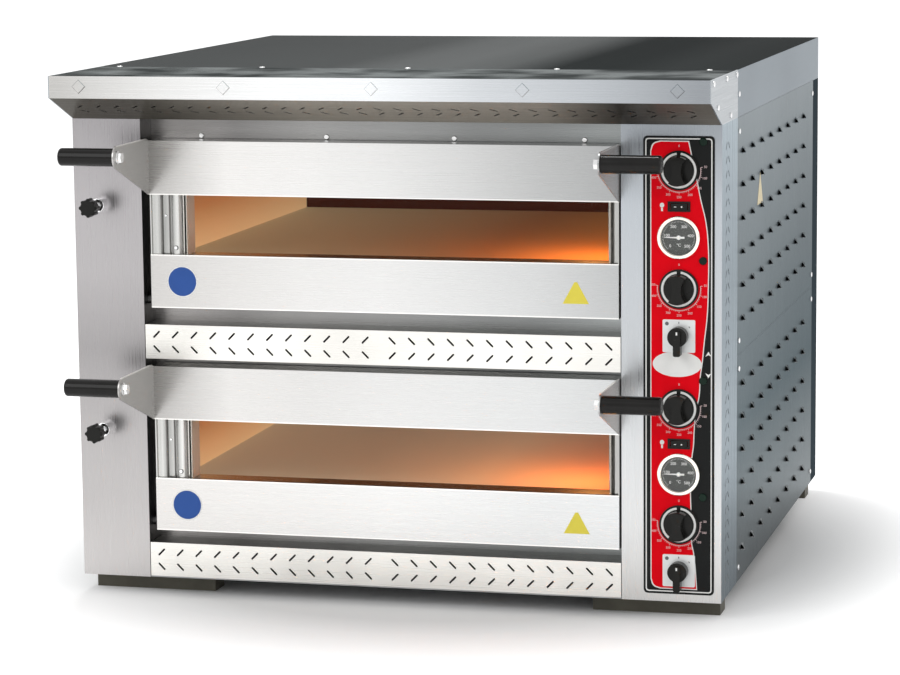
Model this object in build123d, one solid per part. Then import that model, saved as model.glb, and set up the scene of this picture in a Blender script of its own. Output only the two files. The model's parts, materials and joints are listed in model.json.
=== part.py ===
from build123d import *
import os
from math import cos, sin, radians, hypot

# Double-deck electric pizza oven, in millimetres. +X is right, +Y is back, +Z is up.
# Lengths named "depth" or "y" run back from the front face of the two columns.
# save() moves every piece so that the origin lies under the middle of the whole oven.

# ---- casing ----
body_width = 930
body_depth = 950
body_top = 750                 # top of the lid
column_top = 684               # columns and side panels end here, hood and lid start
foot_height = 25
sheet = 1.5                    # casing sheet
seam = 0.3                     # between casing sheets that butt together
left_column_width = 101
right_column_width = 139
column_side_depth = 131        # outer wall of a column
column_inner_depth = 100       # wall beside the doors
hood_reach = 90                # how far the hood stands out in front
hood_fascia = 31               # height of the hood's front face
hood_top_depth = 112           # the lid starts behind this
hood_flange = 24
rear_return = 60               # side flanges of the rear panel
side_seam = 350                # between the lower and the upper side panel
tray_rim = 28
foot_size = (180, 40)          # width and depth of one foot
foot_inset = (7, 35)           # from the sides, from the front and the back

# ---- decks ----
deck_pitch = 322
hearth_level = 166             # top of the lower hearth stone
chamber_margin = (38, 27)      # from the columns to the chamber, left and right
chamber_depth = 630
chamber_height = 150
frame_face = 48                # front of the plate round the chamber mouths
stone = 16
element_room = 14              # below the stone
element_radius = 4
element_play = 0.2
element_bend = 38
rib_count = 4                  # ribs that carry the stone
rib_width = 10
strap_width = 14               # straps that hold the upper rods
strap_depth = 200              # behind the columns' front
blanket = 25                   # insulation
blanket_depth = 40             # behind the chamber
strip_height = 49
strip_base = 27                # underside of the lower vent strip
strip_pitch = 316              # from one vent strip to the next
strip_play = 1
shelf_flange = 25

# ---- doors ----
door_gap = (10.5, 4)           # from the columns to a door, left and right
door_base = 94                 # underside of the lower door
door_height = 237.5
door_front = 3                 # set back from the columns
door_back = 43
band = 2                       # door front sheet
bottom_band = 76
window_height = 85
window_margin = (53.5, 14)     # from a door's sides to its window
glass = 4
glass_lap = 6
hinge_depth = 24
hinge_lift = 10                # hinge axis above the door's underside
hinge_pin = 4                  # radius
running = 0.05                 # radial clearance of a shaft in its hole
bush_wall = 4
bush_length = 12
handle_reach = 127             # ear, from the door's front to the grip's axis
handle_drop = 12.5             # grip axis below the door's top
ear_radius = 16
ear_rise = 8                   # the ear's top edge rises over this much of its length
grip_radius = 12.5
grip_length = 82
grip_bolt = 4
seal_width = 5
seal_gap = 9                   # from a chamber's mouth to its seal
clear = 0.3                    # between a moving piece and a still one

# ---- steam damper on the left column ----
damper_inset = 39              # from the casing's left side
damper_level = 74              # above the hearth
damper_rod = 4
damper_sleeve = 10
damper_stand = 36              # back of the knob, in front of the column
damper_knob = 13.5
damper_knob_depth = 16
flue_radius = 20
flue_wall = 1.5
flue_reach = 22                # spigot behind the rear panel
flue_flange = 30               # radius
flue_flange_thickness = 2
flue_port = 15                 # half of the square port in the steam box
flue_cover = 80                # width of the rear panel's sheet round the steam outlets
flue_box_height = 60
flue_box_front = 560
flue_box_back = 640
flue_throat = (60, 36)         # depth and height of the steam way through the chamber wall
lamp_barrel = 20               # radius of a chamber lamp's holder

# ---- control panel on the right column ----
panel_margin = 31              # from the inner edge of the right column
panel_width = 98
panel_base = 36
panel_height = 633
panel_sheet = 1.5
control_inset = 49.5           # axis of the controls, from the panel's left edge
cam_level = 69.5               # cam switch of the lower deck
control_pitch = 326.5
floor_thermostat = 64.7        # the others, above the cam switch
thermometer = 135.2
rocker = 177.2
top_thermostat = 226.4
pilot_offset = (33, 39)        # from a thermostat's axis
spindle = 3
spindle_length = 16
knob_skirt = 27
knob_grip = 20
knob_depth = 22
cam_plate = 45
cam_knob = 13.5
cam_lever = 26
rocker_size = (31, 14)
rocker_tilt = 8
rocker_body = (27, 11)
rocker_radius = 12.3           # ends of the rocking key, about its pivot
rocker_pin = 1.5
cam_neck = 12
pilot_body = 4
bezel = 29.5
dial = 25

# ---- holes and louvres ----
slot = (13.7, 2.7)
slot_pitch = 28
slot_rows = 21
slot_columns = 24
hood_slot_pitch = 27
column_slot_pitch = 19.4
louvre_columns = 8
louvre_rows = 6
louvre_pitch = (86.5, 47.4)
louvre_first = 53              # from the panel's front edge
louvre_length = 24
louvre_rise = 6
louvre_height = 11
rear_slot_x = 250
rear_slot_levels = (150, 500)
gland_place = (95, 80)         # cable gland in the rear panel, from the right side and the floor
gland_bore = 6.5
gland_thread = 10
terminal_size = (80, 32, 24)   # width, depth and height
terminal_gap = 38              # from the casing's back
screw_head = 4
header_lift = 4                # screws above the upper door's top
header_inset = 64.5            # from the door's left side
header_pitch = 185
rivet_inset = 35               # hood's end rivets, from the casing's sides
rivet_pitch = 215
screw_shank = 2
stamp = 10                     # half diagonal of the diamonds pressed into the hood

half = body_width / 2
inner = half - sheet
opening_left = -half + left_column_width
opening_right = half - right_column_width
door_top = door_base + door_height
door_left = opening_left + door_gap[0]
door_right = opening_right - door_gap[1]
window_left = door_left + window_margin[0]
window_right = door_right - window_margin[1]
mouth_left = opening_left + chamber_margin[0]
mouth_right = opening_right - chamber_margin[1]
damper_x = -half + damper_inset
panel_left = opening_right + panel_margin
control_x = panel_left + control_inset
chamber_front = frame_face + sheet
chamber_back = chamber_front + chamber_depth
floor_drop = stone + element_room
handle_tip = handle_reach + ear_radius - door_front
total_depth = handle_tip + body_depth + flue_reach
front_y = handle_tip - total_depth / 2
damper_end = flue_box_back - sheet - clear
deck_shifts = (0, deck_pitch)
control_shifts = (0, control_pitch)
deck_names = ("lower", "upper")


def save(name, shape):
    """Write one node, moved into the part's own frame."""
    export_step(Pos(0, front_y, 0) * shape, f"parts/{name}.step")


def block(x, y, z):
    """A box between three pairs of limits."""
    middle = [(a + b) / 2 for a, b in (x, y, z)]
    return Pos(*middle) * Box(x[1] - x[0], y[1] - y[0], z[1] - z[0])


def rod(radius, start, length, axis="Y"):
    """A cylinder from a start point along +X, +Y or +Z."""
    turn = {"X": Rot(0, 90, 0), "Y": Rot(-90, 0, 0), "Z": Rot(0, 0, 0)}[axis]
    align = (Align.CENTER, Align.CENTER, Align.MIN)
    return Pos(*start) * turn * Cylinder(radius, length, align=align)


def tube(outer, bore, start, length, axis="Y"):
    return rod(outer, start, length, axis) - rod(bore, start, length, axis)


def along_x(points, x0, x1):
    """Outline in Y and Z, run from x0 to x1."""
    face = make_face(Polyline(*[(x0, y, z) for y, z in points], close=True))
    return extrude(face, amount=x1 - x0, dir=(1, 0, 0))


def along_y(points, y0, y1):
    """Outline in X and Z, run from y0 to y1."""
    face = make_face(Polyline(*[(x, y0, z) for x, z in points], close=True))
    return extrude(face, amount=y1 - y0, dir=(0, 1, 0))


def along_z(points, z0, z1):
    """Outline in X and Y, run from z0 to z1."""
    face = make_face(Polyline(*[(x, y, z0) for x, y in points], close=True))
    return extrude(face, amount=z1 - z0, dir=(0, 0, 1))


def folded(points, thickness):
    """Closed outline of a folded sheet; its second face lies to the left of the path."""
    normals = []
    for (a, b), (c, d) in zip(points, points[1:]):
        run = hypot(c - a, d - b)
        normals.append(((b - d) / run, (c - a) / run))
    second = []
    for i, (a, b) in enumerate(points):
        n = normals[max(i - 1, 0)]
        m = normals[min(i, len(normals) - 1)]
        scale = thickness / (1 + n[0] * m[0] + n[1] * m[1])
        second.append((a + (n[0] + m[0]) * scale, b + (n[1] + m[1]) * scale))
    return list(points) + second[::-1]


def mirrored(shape):
    return mirror(shape, about=Plane.YZ)


def group(parts):
    """Separate solids kept in one node."""
    solids = []
    for part in parts:
        solids.extend(part.solids())
    return Compound(children=solids)


def screws_at(places, direction):
    """Pan-head screws at points on a sheet; the head stands out along direction, +X, -X or +Y."""
    turn = {"+X": Rot(0, 90, 0), "-X": Rot(0, -90, 0), "+Y": Rot(-90, 0, 0), "-Y": Rot(90, 0, 0),
            "+Z": Rot(0, 0, 0)}[direction]
    head = Cylinder(screw_head, 2, align=(Align.CENTER, Align.CENTER, Align.MIN))
    head = fillet(head.edges().sort_by(Axis.Z)[-1], 1.2)
    shank = Pos(0, 0, -sheet) * Cylinder(screw_shank, sheet, align=(Align.CENTER, Align.CENTER, Align.MIN))
    screw = head + shank
    return [Pos(*p) * turn * screw for p in places]


def screw_holes(places, direction):
    axis = direction[1]
    lift = {"X": (-5, 0, 0), "Y": (0, -5, 0), "Z": (0, 0, -5)}[axis]
    return [rod(screw_shank, (p[0] + lift[0], p[1] + lift[1], p[2] + lift[2]), 10, axis) for p in places]


def slot_pattern(places, plane, depth):
    """Cutters for slanted slots; places are (u, v, angle) on the plane."""
    sketch = Sketch() + [Pos(u, v) * Rot(0, 0, angle) * SlotOverall(*slot) for u, v, angle in places]
    return extrude(plane * sketch, amount=depth, both=True)


def cut_all(shape, cutters):
    for cutter in cutters:
        shape -= cutter
    return shape


right_plane = Plane(origin=(half, 0, 0), x_dir=(0, 1, 0), z_dir=(1, 0, 0))


def strip_slots():
    """Two rows of slots: arrows that point left on the left half, right on the right half."""
    middle = (opening_left + opening_right) / 2
    side = slot_columns // 2
    places = []
    for i in range(slot_columns):
        left = i < side
        u = middle + (i - side + 0.5) * slot_pitch + (-5.5 if left else 5.5)
        angle = 45 if left else -45
        places.append((u, slot_rows / 2, angle))
        places.append((u, -slot_rows / 2, -angle))
    return places


# Every screw in the casing, by the face it goes into.
def panel_corners(low, high):
    return [(y, z) for y in (column_side_depth + 12, body_depth - rear_return - 12)
            for z in (low + 20, high - 20)]


cheek_screws = [(-71, body_top - 6), (35, body_top - 6), (column_side_depth - 12, body_top - 6),
                (68, column_top + 8), (-36, column_top + 26)]
side_screws = (panel_corners(foot_height, side_seam) + panel_corners(side_seam, column_top)
               + cheek_screws + [(column_side_depth + 8, column_top + 32)])
rear_screws = [(x, z) for x in (-half + 25, -150, 150, half - 25)
               for z in (foot_height + 20, side_seam, column_top - 20)]
header_level = door_top + deck_pitch + header_lift
header_screws = [(door_left + header_inset + i * header_pitch, frame_face, header_level) for i in range(4)]
rivet_ends = half - rivet_inset
hood_rivets = [(x, hood_top_depth - 8) for x in (-rivet_ends, -rivet_pitch, 0, rivet_pitch, rivet_ends)]


# ---- control positions ----
thermostat_levels = [cam_level + s + t for s in control_shifts for t in (floor_thermostat, top_thermostat)]
cam_levels = [cam_level + s for s in control_shifts]
thermometer_levels = [cam_level + s + thermometer for s in control_shifts]
rocker_levels = [cam_level + s + rocker for s in control_shifts]
pilot_levels = [z + pilot_offset[1] for z in thermostat_levels]


def control_holes():
    """Everything that passes through the control panel and the column behind it."""
    depth = (-panel_sheet - 1, sheet + 1)
    run = depth[1] - depth[0]
    cutters = [rod(spindle + 2, (control_x, depth[0], z), run) for z in thermostat_levels]
    cutters += [rod(cam_neck, (control_x, depth[0], z), run) for z in cam_levels]
    cutters += [rod(dial - 1, (control_x, depth[0], z), run) for z in thermometer_levels]
    cutters += [rod(pilot_body, (control_x + pilot_offset[0], depth[0], z), run) for z in pilot_levels]
    for z in rocker_levels:
        w, h = rocker_body
        cutters.append(block((control_x - w / 2, control_x + w / 2), depth, (z - h / 2, z + h / 2)))
    return cutters


# ---- casing ----
def foot_blocks():
    w, d = foot_size
    x_far = half - foot_inset[0]
    feet = []
    for x0 in (-x_far, x_far - w):
        for y0 in (foot_inset[1], body_depth - foot_inset[1] - d):
            shell = block((x0, x0 + w), (y0, y0 + d), (0, foot_height))
            hollow = block((x0 + 2, x0 + w - 2), (y0 + 2, y0 + d - 2), (2, foot_height))
            feet.append(shell - hollow)
    return group(feet)


def base_tray():
    floor = foot_height
    tray = block((-inner, inner), (sheet, body_depth - sheet), (floor, floor + sheet))
    for x in ((-inner, -inner + sheet), (inner - sheet, inner)):
        tray += block(x, (sheet, body_depth - sheet), (floor, floor + tray_rim))
    back = body_depth - sheet
    return tray + block((-inner, inner), (back - sheet, back), (floor, floor + tray_rim))


def hinge_lines():
    return [(hinge_depth, door_base + hinge_lift + s) for s in deck_shifts]


def column(width, right):
    """C-shaped front column; the right one is drawn mirrored and turned back."""
    wall = block((inner, half), (0, column_side_depth), (foot_height, column_top))
    rows = int((column_top - foot_height - 40) // column_slot_pitch)
    start = foot_height + 26
    places = []
    for i in range(rows + 1):
        z = start + i * column_slot_pitch
        places.append((37, z, 45))
        places.append((57, z, -45))
    wall -= slot_pattern(places, right_plane, 5)
    face = block((half - width, half), (0, sheet), (foot_height, column_top))
    side = block((half - width, half - width + sheet), (0, column_inner_depth),
                 (foot_height + sheet, column_top))
    shape = wall + face + side
    # thin flange that stiffens the inner wall
    back = column_inner_depth
    shape += block((half - width, half - width + 14), (back - sheet, back),
                   (foot_height + sheet, column_top))
    for y, z in hinge_lines():
        shape -= rod(hinge_pin, (half - width - 5, y, z), 15, "X")
    return shape if right else mirrored(shape)


def front_column_right():
    return cut_all(column(right_column_width, True), control_holes())


def front_column_left():
    shape = column(left_column_width, False)
    sleeves = [rod(damper_rod + 3, (damper_x, -5, hearth_level + damper_level + s), 12)
               for s in deck_shifts]
    return cut_all(shape, sleeves)


def hood():
    low = column_top
    path = [(hood_top_depth, body_top), (-hood_reach, body_top), (-hood_reach, body_top - hood_fascia),
            (0, low), (hood_flange, low)]
    shape = along_x(folded(path, sheet), -inner, inner)
    drop = body_top - hood_fascia - low
    lean = hypot(hood_reach, drop)
    slant = Plane(origin=(0, -hood_reach / 2, low + drop / 2), x_dir=(1, 0, 0),
                  z_dir=(0, -drop / lean, -hood_reach / lean))
    count = int((body_width - 30) // hood_slot_pitch)
    places = []
    for i in range(count):
        u = (i - (count - 1) / 2) * hood_slot_pitch
        angle = 45 if u < 0 else -45
        places.append((u, slot_rows / 2, angle))
        places.append((u, -slot_rows / 2, -angle))
    shape -= slot_pattern(places, slant, 6)
    middle = body_top - hood_fascia / 2 + 1
    for i in range(5):
        x = (i - 2) * 210
        ring = [(x + stamp * cos(a), middle + stamp * sin(a))
                for a in (0, radians(90), radians(180), radians(270))]
        base = make_face(Polyline(*[(u, -hood_reach, v) for u, v in ring], close=True))
        shape += extrude(base, amount=1.2, dir=(0, -1, 0), taper=35)
    return cut_all(shape, screw_holes([(x, y, body_top) for x, y in hood_rivets], "+Z"))


def hood_cheeks():
    low = column_top
    outline = [(-hood_reach, body_top), (-hood_reach, body_top - hood_fascia), (0, low),
               (column_side_depth, low), (column_side_depth, body_top)]
    cheek = along_x(outline, inner, half)
    cheek = cut_all(cheek, screw_holes([(half, y, z) for y, z in cheek_screws], "+X"))
    return group([cheek, mirrored(cheek)])


def top_panel():
    low = column_top
    front = column_side_depth + seam
    shape = block((-half, half), (front, body_depth), (low, body_top))
    shape -= block((-inner, inner), (front - 1, body_depth - sheet), (low - 1, body_top - sheet))
    shape += block((-inner + seam, inner - seam), (hood_top_depth + seam, front + 1),
                   (body_top - sheet, body_top))
    holes = [(side * half, column_side_depth + 8, column_top + 32) for side in (-1, 1)]
    return cut_all(shape, screw_holes(holes, "+X"))


def louvre_solids():
    """Outer form and pocket of one pressed louvre, its mouth to the front, on the plane x = 0."""
    def wedge(rise, low, high, depth, start, length):
        mouth = Polyline((-depth, start, low), (rise, start, low * 0.8), (rise * 0.5, start, high * 0.35),
                         (-depth, start, high), close=True)
        tail = Polyline((-depth, start + length, low * 0.3), (0.2, start + length, low * 0.24),
                        (0.1, start + length, high * 0.1), (-depth, start + length, high * 0.3), close=True)
        return loft([make_face(mouth), make_face(tail)])
    low = -louvre_height * 0.45
    high = louvre_height * 0.55
    outer = wedge(louvre_rise, low, high, 0.5, 0, louvre_length)
    pocket = wedge(louvre_rise - 1.1, low + 0.9, high - 1.4, sheet + 1, -0.5, louvre_length - 4)
    return outer, pocket


def side_panel(low, high):
    """A louvred sheet on the right side of the casing."""
    front = column_side_depth + seam
    back = body_depth - rear_return - seam
    outer, pocket = louvre_solids()
    middle = (low + high) / 2
    places = []
    for i in range(louvre_columns):
        for j in range(louvre_rows):
            y = column_side_depth + louvre_first + i * louvre_pitch[0] - louvre_length / 2
            z = middle + (j - (louvre_rows - 1) / 2) * louvre_pitch[1]
            places.append(Pos(half, y, z))
    shape = block((inner, half), (front, back), (low, high - seam))
    shape = shape.fuse(*[p * outer for p in places])
    shape = shape.cut(*[p * pocket for p in places])
    holes = [(half, y, z) for y, z in panel_corners(low, high)]
    return cut_all(shape, screw_holes(holes, "+X"))


def side_panels(low, high):
    panel = side_panel(low, high)
    return group([panel, mirrored(panel)])


def flue_levels():
    return [hearth_level + damper_level + s for s in deck_shifts]


def rear_panel():
    """Flanged back in two sheets; a narrow one carries the steam outlets."""
    back = body_depth
    shape = block((-half, half), (back - rear_return, back), (foot_height, column_top))
    shape -= block((-inner, inner), (back - rear_return - 1, back - sheet), (0, body_top))
    for z in flue_levels():
        shape -= block((damper_x - flue_radius, damper_x + flue_radius), (back - 5, back + 5),
                       (z - flue_radius, z + flue_radius))
    shape -= rod(gland_thread, (half - gland_place[0], back - 5, gland_place[1]), 10)
    # two fields of cooling slots behind the wiring space
    rear_plane = Plane(origin=(rear_slot_x, back, 0), x_dir=(-1, 0, 0), z_dir=(0, 1, 0))
    places = [(i * slot_pitch, level + j * slot_rows, 90)
              for i in range(-3, 4) for level in rear_slot_levels for j in (-1, 0, 1)]
    shape -= slot_pattern(places, rear_plane, sheet + 1)
    joint = -half + flue_cover
    shape -= block((joint, joint + seam), (0, back + 1), (0, body_top))
    return group([cut_all(shape, screw_holes([(u, back, v) for u, v in rear_screws], "+Y"))])


def vent_strips():
    strips = []
    x0 = opening_left + strip_play
    x1 = opening_right - strip_play
    for base in (strip_base, strip_base + strip_pitch):
        top = base + strip_height
        path = [(frame_face, base), (0, base), (0, top), (frame_face, top)]
        strip = along_x(folded(path[::-1], sheet), x0, x1)
        plane = Plane(origin=(0, 0, (base + top) / 2), x_dir=(1, 0, 0), z_dir=(0, -1, 0))
        strips.append(strip - slot_pattern(strip_slots(), plane, sheet + 1))
    return group(strips)


def chamber_frames():
    """Plates round the chamber mouths, between the columns."""
    plates = []
    limits = ((strip_base + strip_height, strip_base + strip_pitch),
              (strip_base + strip_pitch + strip_height, column_top))
    for shift, (low, high) in zip(deck_shifts, limits):
        plate = block((opening_left, opening_right), (frame_face, chamber_front), (low, high))
        level = hearth_level + shift
        plate -= block((mouth_left, mouth_right), (0, 100), (level, level + chamber_height))
        plates.append(plate)
    plates[-1] = cut_all(plates[-1], screw_holes(header_screws, "-Y"))
    return group(plates)


# ---- chamber ----
def element_runs(shift):
    """Paths of the heating rods: three hairpins under the stone and three below the ceiling."""
    level = hearth_level + shift
    low = level - floor_drop + element_radius + element_play
    high = level + chamber_height - 12
    spacing = (mouth_right - mouth_left) / 3
    middle = (mouth_left + mouth_right) / 2
    for z in (low, high):
        for i in range(3):
            yield middle + (i - 1) * spacing, z


def lamp_spot(shift):
    return (110, hearth_level + shift + 105)


def liner_box(shift, grow, front, back):
    """Block round the chamber, grown on all sides."""
    level = hearth_level + shift
    return block((mouth_left - grow, mouth_right + grow), (front, back + grow),
                 (level - floor_drop - grow, level + chamber_height + grow))


def chamber_holes(shift, grow):
    """Ways through the chamber's walls for the rods' ends, the lamp and the steam."""
    cutters = []
    for x, z in element_runs(shift):
        for side in (-1, 1):
            cutters.append(rod(element_radius + element_play, (x + side * element_bend, chamber_back - 2, z),
                               grow + 4))
    y, z = lamp_spot(shift)
    cutters.append(rod(lamp_barrel, (mouth_right - 1, y, z), grow + 2, "X"))
    d, h = flue_throat
    middle = (flue_box_front + flue_box_back) / 2
    level = hearth_level + shift + damper_level
    cutters.append(block((mouth_left - grow - 1, mouth_left + 1), (middle - d / 2, middle + d / 2),
                         (level - h / 2, level + h / 2)))
    return cutters


def chamber_liners():
    """Each chamber's sheets, the ribs under its stone and the straps that hold its upper rods."""
    liners = []
    for shift in deck_shifts:
        level = hearth_level + shift
        floor = level - floor_drop
        ceiling = level + chamber_height
        depth = (chamber_front, chamber_back)
        across = (mouth_left - sheet, mouth_right + sheet)
        liners.append(block(across, depth, (floor - sheet, floor)))
        liners.append(block(across, depth, (ceiling, ceiling + sheet)))
        walls = [block(across, (chamber_back, chamber_back + sheet), (floor - sheet, ceiling + sheet))]
        for x in (mouth_left - sheet, mouth_right):
            walls.append(block((x, x + sheet), depth, (floor, ceiling)))
        holes = chamber_holes(shift, 8)
        liners += [cut_all(wall, holes) for wall in walls]
        for i in range(rib_count):
            x = mouth_left + i * (mouth_right - mouth_left - rib_width) / (rib_count - 1)
            liners.append(block((x, x + rib_width), (chamber_front + 6, chamber_back - 6),
                                (floor, floor + element_room)))
        for x, z in element_runs(shift):
            if z < level:
                continue
            for u in (x - element_bend, x + element_bend):
                strap = block((u - strap_width / 2, u + strap_width / 2), (strap_depth, strap_depth + band),
                              (z - strap_width / 2, ceiling))
                hole = rod(element_radius + element_play, (u, strap_depth - 1, z), band + 2)
                liners.append(strap - hole)
    return group(liners)


def chamber_insulation():
    blankets = []
    for shift in deck_shifts:
        level = hearth_level + shift
        x = (mouth_left - sheet - blanket, mouth_right + sheet + blanket)
        z = (level - floor_drop - sheet - blanket, level + chamber_height + sheet + blanket)
        shell = block(x, (chamber_front + 2, chamber_back + blanket_depth), z)
        shell -= liner_box(shift, sheet, chamber_front - 1, chamber_back)
        holes = chamber_holes(shift, blanket + 10)
        for u, v in element_runs(shift):
            for side in (-1, 1):
                holes.append(rod(element_radius + element_play, (u + side * element_bend, chamber_back, v),
                                 blanket_depth + 2))
        blankets.append(cut_all(shell, holes))
    return group(blankets)


def deck_shelves():
    """Flanged sheets that carry a chamber with its insulation between the side panels."""
    shelves = []
    for shift in deck_shifts:
        top = hearth_level + shift - floor_drop - sheet - blanket
        front = column_inner_depth + 2
        path = [(-inner, top - shelf_flange), (-inner, top), (inner, top), (inner, top - shelf_flange)]
        shelves.append(along_y(folded(path[::-1], sheet), front, body_depth - sheet - seam))
    return group(shelves)


def hearth_stones():
    stones = []
    for shift in deck_shifts:
        level = hearth_level + shift
        slab = block((mouth_left + 0.8, mouth_right - 0.8), (chamber_front + 0.8, chamber_back - 0.8),
                     (level - stone, level))
        stones.append(slab)
    return group(stones)


def heating_elements():
    """Hairpin rods; their ends pass through the chamber's back wall into the wiring space."""
    rods = []
    end = chamber_back + blanket_depth + 25
    start = chamber_front + 70
    for shift in deck_shifts:
        for x, z in element_runs(shift):
            bend = element_bend
            path = Line((x - bend, end, z), (x - bend, start, z))
            path += ThreePointArc((x - bend, start, z), (x, start - bend, z), (x + bend, start, z))
            path += Line((x + bend, start, z), (x + bend, end, z))
            section = Plane(origin=(x - bend, end, z), z_dir=(0, -1, 0)) * Circle(element_radius)
            rods.append(sweep(section, path=path))
    return group(rods)


def flue_ducts():
    """Steam box beside each chamber, its throat, its square duct and the flanged spigot at the back."""
    ducts = []
    x0 = damper_x - flue_radius - 8
    x1 = mouth_left - sheet
    front, back = flue_box_front, flue_box_back
    d, h = flue_throat
    middle = (front + back) / 2
    wall = mouth_left - sheet - blanket - 0.5
    half_box = flue_box_height / 2
    outer = flue_radius - clear
    bore = flue_radius - flue_wall
    for z in flue_levels():
        box = block((x0, wall), (front, back), (z - half_box, z + half_box))
        box -= block((x0 + flue_wall, wall - flue_wall), (front + flue_wall, back - flue_wall),
                     (z - half_box + flue_wall, z + half_box - flue_wall))
        box -= block((wall - 5, x1), (middle - d / 2, middle + d / 2), (z - h / 2, z + h / 2))
        box -= block((damper_x - flue_port, damper_x + flue_port), (back - 5, back + 5),
                     (z - flue_port, z + flue_port))
        box -= rod(damper_rod + running, (damper_x, front - 5, z), 12)
        throat = block((wall - flue_wall, x1), (middle - d / 2, middle + d / 2), (z - h / 2, z + h / 2))
        throat -= block((wall - 5, x1 + 1), (middle - d / 2 + flue_wall, middle + d / 2 - flue_wall),
                        (z - h / 2 + flue_wall, z + h / 2 - flue_wall))
        duct = block((damper_x - outer, damper_x + outer), (back, body_depth), (z - outer, z + outer))
        room = outer - flue_wall
        duct -= block((damper_x - room, damper_x + room), (back - 1, body_depth + 1), (z - room, z + room))
        flange = tube(flue_flange, bore, (damper_x, body_depth, z), flue_flange_thickness)
        neck = body_depth + flue_flange_thickness
        spigot = tube(flue_radius, bore, (damper_x, neck, z), flue_reach - flue_flange_thickness)
        ducts += [box, throat, duct, flange, spigot]
    return group(ducts)


def door_seals():
    seals = []
    for shift in deck_shifts:
        level = hearth_level + shift
        y = (door_back + clear, frame_face)
        w = seal_gap + seal_width
        ring = block((mouth_left - w, mouth_right + w), y, (level - w, level + chamber_height + w))
        w = seal_gap
        ring -= block((mouth_left - w, mouth_right + w), (0, 100), (level - w, level + chamber_height + w))
        seals.append(ring)
    return group(seals)


def hinge_pins():
    """Shouldered pins held in the columns; the doors' bushes turn on them."""
    pins = []
    for y, z in hinge_lines():
        for wall, door, side in ((opening_left, door_left, 1), (opening_right, door_right, -1)):
            head = wall - side * sheet
            tip = door + side * (bush_length + sheet)
            pieces = [(8, head - side * 4, head), (hinge_pin, head, tip), (7, wall, door - side * clear)]
            pin = None
            for radius, a, b in pieces:
                piece = rod(radius, (min(a, b), y, z), abs(b - a), "X")
                pin = piece if pin is None else pin + piece
            pins.append(pin)
    return group(pins)


def damper_sleeves():
    sleeves = []
    for z in flue_levels():
        sleeve = rod(damper_sleeve, (damper_x, -14, z), 14) + rod(damper_rod + 3, (damper_x, -1, z), 13)
        sleeve = fillet(sleeve.edges().filter_by(GeomType.CIRCLE).sort_by(Axis.Y)[0], 1)
        sleeve += rod(damper_sleeve, (damper_x, sheet, z), 6)
        sleeves.append(sleeve - rod(damper_rod + running, (damper_x, -20, z), 40))
    return group(sleeves)


def chamber_lamps():
    lamps = []
    for shift in deck_shifts:
        y, z = lamp_spot(shift)
        lens = rod(lamp_barrel + 6, (mouth_right - 5, y, z), 5, "X")
        lens = fillet(lens.edges().sort_by(Axis.X)[0], 3)
        lamps.append(lens + rod(lamp_barrel, (mouth_right - 1, y, z), blanket + sheet + 0.5, "X"))
    return group(lamps)


# ---- controls that stay still ----
def control_panel():
    x = (panel_left, panel_left + panel_width)
    plate = block(x, (-panel_sheet, 0), (panel_base, panel_base + panel_height))
    plate = fillet(plate.edges().filter_by(Axis.Y), 6)
    return cut_all(plate, control_holes())


def thermostats():
    bodies = []
    for z in thermostat_levels:
        body = block((control_x - 22, control_x + 22), (sheet, sheet + 42), (z - 22, z + 22))
        bodies.append(body + rod(spindle, (control_x, -spindle_length, z), spindle_length + sheet + 1))
    return group(bodies)


def cam_switches():
    switches = []
    for z in cam_levels:
        h = cam_plate / 2
        front = -panel_sheet - 2
        plate = block((control_x - h, control_x + h), (front, -panel_sheet), (z - h, z + h))
        plate = fillet(plate.edges().filter_by(Axis.Y), 2)
        plate += rod(cam_neck, (control_x, -panel_sheet - 1, z), 5)
        plate += block((control_x - 19, control_x + 19), (sheet, sheet + 45), (z - 19, z + 19))
        switches.append(plate + rod(spindle, (control_x, front - spindle_length, z), spindle_length + 1))
    return group(switches)


rocker_pivot = 1 - panel_sheet       # depth of the pivot


def rocker_housings():
    housings = []
    w, h = rocker_size
    bw, bh = rocker_body
    for z in rocker_levels:
        front = -panel_sheet - 2
        shell = block((control_x - w / 2, control_x + w / 2), (front, -panel_sheet), (z - h / 2, z + h / 2))
        shell += block((control_x - bw / 2, control_x + bw / 2), (-panel_sheet, 22),
                       (z - bh / 2, z + bh / 2))
        pocket = rocker_radius + clear
        shell -= block((control_x - pocket, control_x + pocket), (front - 1, 16), (z - 4.7, z + 4.7))
        for side in (-1, 1):
            start = z + 3 if side > 0 else z - 3 - 2.2
            shell -= rod(rocker_pin + running, (control_x, rocker_pivot, start), 2.2, "Z")
        housings.append(shell)
    return group(housings)


def thermometer_cases():
    cases = []
    front = -panel_sheet - 7.5
    for z in thermometer_levels:
        case = rod(bezel, (control_x, front, z), 7.5)
        case = fillet(case.edges().sort_by(Axis.Y)[0], 2)
        case += rod(dial - 1, (control_x, -panel_sheet - 1, z), 22)
        case -= rod(dial, (control_x, front - 1, z), 1 + 4.5)
        cases.append(case + rod(1, (control_x, front + 3, z), 2.5))
    return group(cases)


def thermometer_glasses():
    front = -panel_sheet - 7.5
    return group([rod(dial, (control_x, front + 0.5, z), 1.5) for z in thermometer_levels])


def pilot_lamps():
    lamps = []
    for z in pilot_levels:
        x = control_x + pilot_offset[0]
        lens = rod(pilot_body + 1.5, (x, -panel_sheet - 3, z), 3)
        lens = fillet(lens.edges().sort_by(Axis.Y)[0], 1.5)
        lamps.append(lens + rod(pilot_body, (x, -panel_sheet - 1, z), 20))
    return group(lamps)


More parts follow.
